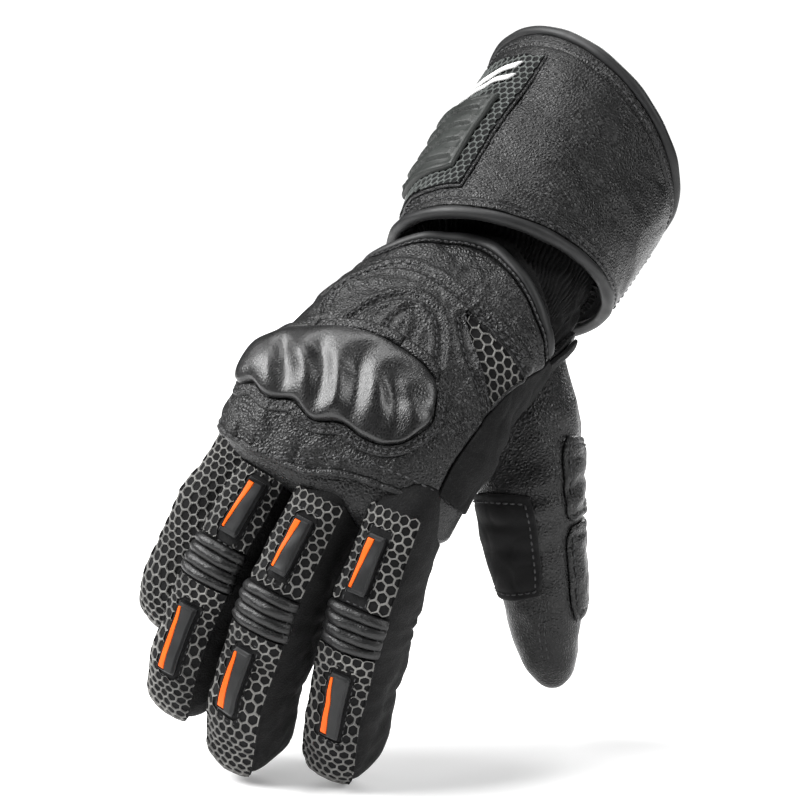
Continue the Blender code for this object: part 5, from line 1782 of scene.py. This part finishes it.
def tab_piece():
    along, across, rise = rim_grid(14, 0.12, 4, 20, 0.10, 4)
    station = 0.07 + palm_form.station(TAB_WIDTH) * along
    angle = -100 + math.degrees(2 * TAB_LENGTH / PALM_WIDTH) * across
    height = TAB_THICKNESS * (0.3 + 0.7 * rise)
    pad("strap_end", palm_at, (station, angle), SEWN_GAP, SEWN_GAP + height, "black_softshell",
        "wrist_tab")
    thread = Form()
    for line in (0.22, 0.78):
        share = np.linspace(0.15, 0.85, 50)
        stitches(thread, palm_at, 0.07 + palm_form.station(TAB_WIDTH) * (line + 0 * share),
                 -100 + math.degrees(2 * TAB_LENGTH / PALM_WIDTH) * share,
                 SEWN_GAP + TAB_THICKNESS - 0.05 * MM, pitch=2.3 * MM, length=1.6 * MM)
    thread_piece("strap_stitches", thread)


# Finishes, each with its grain, weave and wear

FINISHES = {}


class Nodes:
    """A short way to build a material's nodes."""

    def __init__(self, name):
        self.material = bpy.data.materials.new(name)
        self.material.use_nodes = True
        self.tree = self.material.node_tree
        self.shader = self.tree.nodes["Principled BSDF"]
        self.place = self.tree.nodes.new("ShaderNodeTexCoord").outputs["Object"]
        FINISHES[name] = self.material

    def add(self, kind, inputs=None, **settings):
        node = self.tree.nodes.new(kind)
        for key, value in settings.items():
            setattr(node, key, value)
        for key, value in (inputs or {}).items():
            if hasattr(value, "is_output"):
                self.tree.links.new(value, node.inputs[key])
            else:
                node.inputs[key].default_value = value
        return node

    def noise(self, scale, detail=3.0, rough=0.55, place=None):
        return self.add("ShaderNodeTexNoise", {"Vector": place or self.place, "Scale": scale,
                                               "Detail": detail, "Roughness": rough}).outputs[0]

    def cells(self, scale, feature, place):
        node = self.add("ShaderNodeTexVoronoi", {"Vector": place, "Scale": scale}, feature=feature)
        return node.outputs["Distance"]

    def shift(self, scale, amount):
        """The place, moved about by noise, so that a pattern isn't regular."""
        node = self.add("ShaderNodeTexNoise", {"Vector": self.place, "Scale": scale,
                                               "Detail": 2.0})
        part = self.vector(node.outputs["Color"], (amount, amount, amount))
        return self.vector(self.place, part, "ADD")

    def vector(self, a, b, kind="MULTIPLY"):
        return self.add("ShaderNodeVectorMath", {0: a, 1: b}, operation=kind).outputs[0]

    def range(self, value, low, high, first, last):
        return self.add("ShaderNodeMapRange", {"Value": value, "From Min": low, "From Max": high,
                                               "To Min": first, "To Max": last}).outputs[0]

    def sum(self, a, b, kind="ADD"):
        return self.add("ShaderNodeMath", {0: a, 1: b}, operation=kind).outputs[0]

    def mix(self, share, one, two):
        """From one, which is a colour or another node's output, to the second colour."""
        one = one if hasattr(one, "is_output") else (*one, 1.0)
        node = self.add("ShaderNodeMix", {"Factor": share, 6: one, 7: (*two, 1.0)},
                        data_type="RGBA")
        return node.outputs[2]

    def edges(self, low, high):
        point = self.add("ShaderNodeNewGeometry").outputs["Pointiness"]
        return self.range(point, low, high, 0.0, 1.0)

    def bump(self, height, depth, strength=1.0, after=None):
        inputs = {"Height": height, "Distance": depth, "Strength": strength}
        if after is not None:
            inputs["Normal"] = after
        return self.add("ShaderNodeBump", inputs).outputs[0]

    def wire(self, socket, value):
        self.tree.links.new(value, self.shader.inputs[socket])

    def set(self, **values):
        for key, value in values.items():
            self.shader.inputs[key.replace("_", " ")].default_value = value


def leather(name, dark, light, low, high, pebble, depth, coat=0.0, line_grain=False,
            edge_low=0.53, specular=0.5):
    """Grained leather: pebbles between fine valleys with painted shade in them, pores, wide tone
    changes and worn edges.
    """
    n = Nodes(name)
    moved = n.shift(300.0, 0.0004)
    if line_grain:
        moved = n.vector(moved, (1.7, 0.8, 0.9))
    valley = n.cells(pebble, "DISTANCE_TO_EDGE", moved)
    pebbles = n.range(valley, 0.0, 0.38, 0.0, 1.0)
    small = n.range(n.cells(pebble * 2.3, "DISTANCE_TO_EDGE", moved), 0.0, 0.2, 0.0, 1.0)
    wide = n.noise(38.0, 4.0)
    fine = n.noise(5200.0, 2.0)
    tone = n.range(wide, 0.32, 0.68, 0.0, 1.0)
    colour = n.mix(tone, dark, light)
    # Painted shade: the colour darkens towards the valleys between the pebbles
    inside = n.range(pebbles, 0.0, 0.55, 0.55, 0.0)
    colour = n.mix(inside, colour, tuple(0.35 * value for value in dark))
    worn = n.edges(edge_low, edge_low + 0.09)
    scuff = n.sum(worn, n.range(n.noise(420.0, 4.0), 0.42, 0.62, 0.0, 0.55), "MULTIPLY")
    colour = n.mix(scuff, colour, tuple(2.6 * value for value in light))
    n.wire("Base Color", colour)
    rough = n.range(n.noise(150.0, 4.0), 0.3, 0.7, low, high)
    rough = n.sum(rough, n.range(pebbles, 0.0, 0.6, 0.16, 0.0))
    n.wire("Roughness", rough)
    height = n.sum(pebbles, n.sum(small, 0.12, "MULTIPLY"))
    height = n.sum(height, n.sum(n.cells(pebble * 0.55, "F1", moved), 0.25, "MULTIPLY"))
    first = n.bump(height, depth)
    second = n.bump(fine, 0.00002, 0.4, first)
    n.wire("Normal", n.bump(n.noise(130.0, 2.0), 0.0005, 0.25, second))
    n.set(Metallic=0.0, Coat_Weight=coat, Coat_Roughness=0.28, Specular_IOR_Level=specular)


def cloth(name, dark, light, grain, depth, speckle, sheen=0.0, rough=(0.78, 0.95)):
    """Matt cloth: a fine weave of crossed threads, stray pale fibres and soft tone changes."""
    n = Nodes(name)
    moved = n.shift(900.0, 0.0003)
    threads = n.cells(grain, "F1", moved)
    strands = n.noise(grain * 1.3, 2.0, 0.6, n.vector(n.place, (1.0, 2.6, 0.8)))
    wide = n.noise(60.0, 4.0)
    colour = n.mix(n.range(wide, 0.3, 0.7, 0.0, 1.0), dark, light)
    fleck = n.range(n.noise(grain * 1.7, 3.0, 0.7), 0.57, 0.70, 0.0, speckle)
    colour = n.mix(fleck, colour, tuple(min(1.0, 7 * value + 0.03) for value in light))
    n.wire("Base Color", colour)
    n.wire("Roughness", n.range(n.noise(240.0, 3.0), 0.3, 0.7, *rough))
    first = n.bump(threads, depth, 0.8)
    n.wire("Normal", n.bump(strands, depth * 0.7, 0.6, first))
    n.set(Metallic=0.0, Sheen_Weight=sheen, Sheen_Roughness=0.5, Specular_IOR_Level=0.20)


RUBBER_GRAIN = 0.00003


def rubber(name, dark, light, low, high, specular=0.5):
    """Moulded rubber: a fine sandy skin, faint clouding and slightly polished edges."""
    n = Nodes(name)
    colour = n.mix(n.range(n.noise(90.0, 4.0), 0.35, 0.65, 0.0, 1.0), dark, light)
    worn = n.sum(n.edges(0.52, 0.62), n.range(n.noise(500.0, 3.0), 0.4, 0.6, 0.15, 0.6),
                 "MULTIPLY")
    colour = n.mix(worn, colour, tuple(min(1.0, 1.7 * value) for value in light))
    n.wire("Base Color", colour)
    rough = n.range(n.noise(300.0, 4.0), 0.3, 0.7, low, high)
    n.wire("Roughness", rough)
    first = n.bump(n.noise(3600.0, 2.0), RUBBER_GRAIN, 0.6)
    n.wire("Normal", n.bump(n.noise(700.0, 2.0), RUBBER_GRAIN * 2.5, 0.35, first))
    n.set(Metallic=0.0, Specular_IOR_Level=specular)


leather("black_leather", (0.0062, 0.0062, 0.0064), (0.0105, 0.0105, 0.0108), 0.24, 0.33, 860.0,
        0.00017, specular=0.36)
leather("guard_leather", (0.0055, 0.0055, 0.0057), (0.0090, 0.0090, 0.0093), 0.24, 0.32, 900.0,
        0.00007, coat=0.30, line_grain=True, edge_low=0.56)
leather("flex_leather", (0.0060, 0.0060, 0.0062), (0.0100, 0.0100, 0.0103), 0.28, 0.38, 900.0,
        0.00007, coat=0.08, edge_low=0.56, specular=0.34)
cloth("black_softshell", (0.0035, 0.0035, 0.0036), (0.0060, 0.0060, 0.0062), 1500.0, 0.00022,
      0.30, sheen=0.02)
cloth("black_suede", (0.0045, 0.0045, 0.0047), (0.0080, 0.0080, 0.0083), 3600.0, 0.00010, 0.05,
      sheen=0.08, rough=(0.85, 0.98))
cloth("lining", (0.0100, 0.0100, 0.0105), (0.0170, 0.0170, 0.0180), 1500.0, 0.00018, 0.08,
      sheen=0.05)
cloth("net_cloth", (0.0050, 0.0050, 0.0053), (0.0085, 0.0085, 0.0090), 2400.0, 0.00010, 0.08)
cloth("net_floor", (0.0040, 0.0040, 0.0042), (0.0080, 0.0080, 0.0085), 2200.0, 0.00010, 0.04)
cloth("grey_net", (0.105, 0.104, 0.100), (0.230, 0.226, 0.215), 3000.0, 0.00016, 0.10,
      rough=(0.42, 0.62))
cloth("cuff_net_line", (0.055, 0.060, 0.057), (0.100, 0.108, 0.104), 3000.0, 0.00008, 0.10,
      rough=(0.45, 0.66))
cloth("thread", (0.034, 0.034, 0.035), (0.070, 0.070, 0.072), 4200.0, 0.00006, 0.10,
      rough=(0.45, 0.65))
rubber("dark_rubber", (0.0085, 0.0087, 0.0092), (0.014, 0.0143, 0.015), 0.40, 0.54, 0.30)
rubber("grey_rubber", (0.015, 0.017, 0.0155), (0.025, 0.028, 0.026), 0.40, 0.54, 0.36)
rubber("orange_rubber", (0.86, 0.098, 0.001), (0.98, 0.130, 0.002), 0.46, 0.60, 0.25)
rubber("white_print", (0.76, 0.76, 0.75), (0.86, 0.86, 0.85), 0.48, 0.62)
rubber("grey_piping", (0.0075, 0.0077, 0.008), (0.013, 0.0133, 0.0138), 0.44, 0.58, 0.38)


# Make every piece

outside = palm_block(EDGE_GAP, "palm_outside")
palm_shell()
for number, (finger, form_of) in enumerate(finger_forms):
    digit_body(f"{finger.name}_finger", f"{finger.name}_body", finger_at(number), form_of,
               finger.root, anchor_of(finger), FINGER_ROUND, "black_softshell", outside)
digit_body("thumb", "thumb_body", thumb_at, thumb_form, 0.0, THUMB_ANCHOR, THUMB_ROUND,
           "black_leather", outside)

for number, (finger, form_of) in enumerate(finger_forms):
    early = form_of.station(2.6 * MM)
    if not finger.inserts:
        finger_net_piece(number, "", finger.net - early, NET_END)
        continue
    flex_start, flex_end = flex_range(form_of)
    between = form_of.station(EDGE_GAP)
    finger_net_piece(number, "_upper", finger.net - early, flex_start - between)
    finger_net_piece(number, "_lower", flex_end + between, NET_END)
    finger_flex_piece(number)
for insert_row in INSERTS:
    insert_piece(insert_row)

thumb_block = digit_cutter("thumb_outside", thumb_at, 0.0, THUMB_ANCHOR, EDGE_GAP, 48)
index_block = digit_cutter("index_outside", finger_at(0), FINGERS[0].root, anchor_of(FINGERS[0]),
                           EDGE_GAP, 48)
back_cover([index_block])
back_window()
guard_pad()
guard_strap()
guard_flange()
back_threads()
finger_hem()
strip_piece([thumb_block, index_block])
wrist_edge()
thumb_details()
gather_sleeve()
cuff_body()
cuff_panel()
tab_piece()

for cutter in CUTTERS:
    bpy.data.objects.remove(cutter, do_unlink=True)

for piece, stands_for, slot, fill in PIECES:
    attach(piece, "root")
    if stands_for:
        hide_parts(*stands_for)


# The floor, the light and the camera

FLOOR_RADIUS = 1.1
FLOOR_GLOW = 0.22
FLOOR_GAP = 0.2 * MM
# The world's strength: as light, and where it is seen
WORLD_LIGHT, WORLD_SEEN = 0.045, 1.15
# The lamps: their place, the two sides of their face and their power
LAMPS = (("top", (-0.20, 0.10, 1.50), (0.9, 0.9), 14),
         ("key", (-0.60, -0.80, 0.90), (1.0, 1.0), 42),
         ("side", (1.25, 0.30, 0.70), (0.20, 0.9), 10),
         ("back", (-0.55, 1.25, 0.55), (0.8, 0.8), 14))
LAMP_AIM = (-0.02, -0.04, -0.02)
CAMERA_PLACE = (0.6003, -0.6664, 0.1147)
CAMERA_AIM = (-0.0154, -0.0289, -0.0416)
CAMERA_LENS = 120.9


def floor_piece():
    mesh = bpy.data.meshes.new("floor")
    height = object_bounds()[0].z - FLOOR_GAP
    around = np.linspace(0, 2 * math.pi, 97)[:-1]
    corners = [(FLOOR_RADIUS * math.cos(t), FLOOR_RADIUS * math.sin(t), height) for t in around]
    mesh.from_pydata(corners, [], [tuple(range(len(corners)))])
    obj = bpy.data.objects.new("floor", mesh)
    n = Nodes("pale_floor")
    n.set(Metallic=0.0, Roughness=0.9, Emission_Color=(1.0, 1.0, 1.0, 1.0),
          Emission_Strength=FLOOR_GLOW)
    n.wire("Base Color", n.mix(n.noise(4.0, 2.0), (0.90, 0.90, 0.90), (0.92, 0.92, 0.92)))
    mesh.materials.append(n.material)
    bpy.context.scene.collection.objects.link(obj)


def lamp(name, place_at, size, power):
    light = bpy.data.lights.new(name, "AREA")
    light.shape = "RECTANGLE"
    light.size, light.size_y = size
    light.energy = power
    obj = bpy.data.objects.new(name, light)
    obj.location = place_at
    direction = np.array(LAMP_AIM) - np.array(place_at)
    obj.rotation_euler = Vector(direction.tolist()).to_track_quat("-Z", "Y").to_euler()
    bpy.context.scene.collection.objects.link(obj)


def studio():
    world = bpy.data.worlds.new("studio")
    bpy.context.scene.world = world
    world.use_nodes = True
    tree = world.node_tree
    seen = tree.nodes.new("ShaderNodeLightPath")
    both = tree.nodes.new("ShaderNodeMixShader")
    tree.links.new(seen.outputs["Is Camera Ray"], both.inputs[0])
    # The world lights the glove dimly, and is white where it is seen
    grounds = ((tree.nodes["Background"], WORLD_LIGHT),
               (tree.nodes.new("ShaderNodeBackground"), WORLD_SEEN))
    for socket, (ground, strength) in enumerate(grounds, 1):
        ground.inputs["Color"].default_value = (1.0, 1.0, 1.0, 1.0)
        ground.inputs["Strength"].default_value = strength
        tree.links.new(ground.outputs[0], both.inputs[socket])
    tree.links.new(both.outputs[0], tree.nodes["World Output"].inputs["Surface"])
    look = bpy.context.scene.view_settings
    look.view_transform = "Standard"
    look.look = "None"
    look.exposure = 0.0
    for row in LAMPS:
        lamp(*row)


def camera():
    data = bpy.data.cameras.new("camera")
    data.lens = CAMERA_LENS
    data.sensor_width = 36.0
    data.clip_start, data.clip_end = 0.01, 50.0
    obj = bpy.data.objects.new("camera", data)
    obj.location = CAMERA_PLACE
    away = Vector(CAMERA_PLACE) - Vector(CAMERA_AIM)
    obj.rotation_euler = away.to_track_quat("Z", "Y").to_euler()
    bpy.context.scene.collection.objects.link(obj)
    bpy.context.scene.camera = obj


floor_piece()
studio()
camera()
bpy.context.view_layer.update()
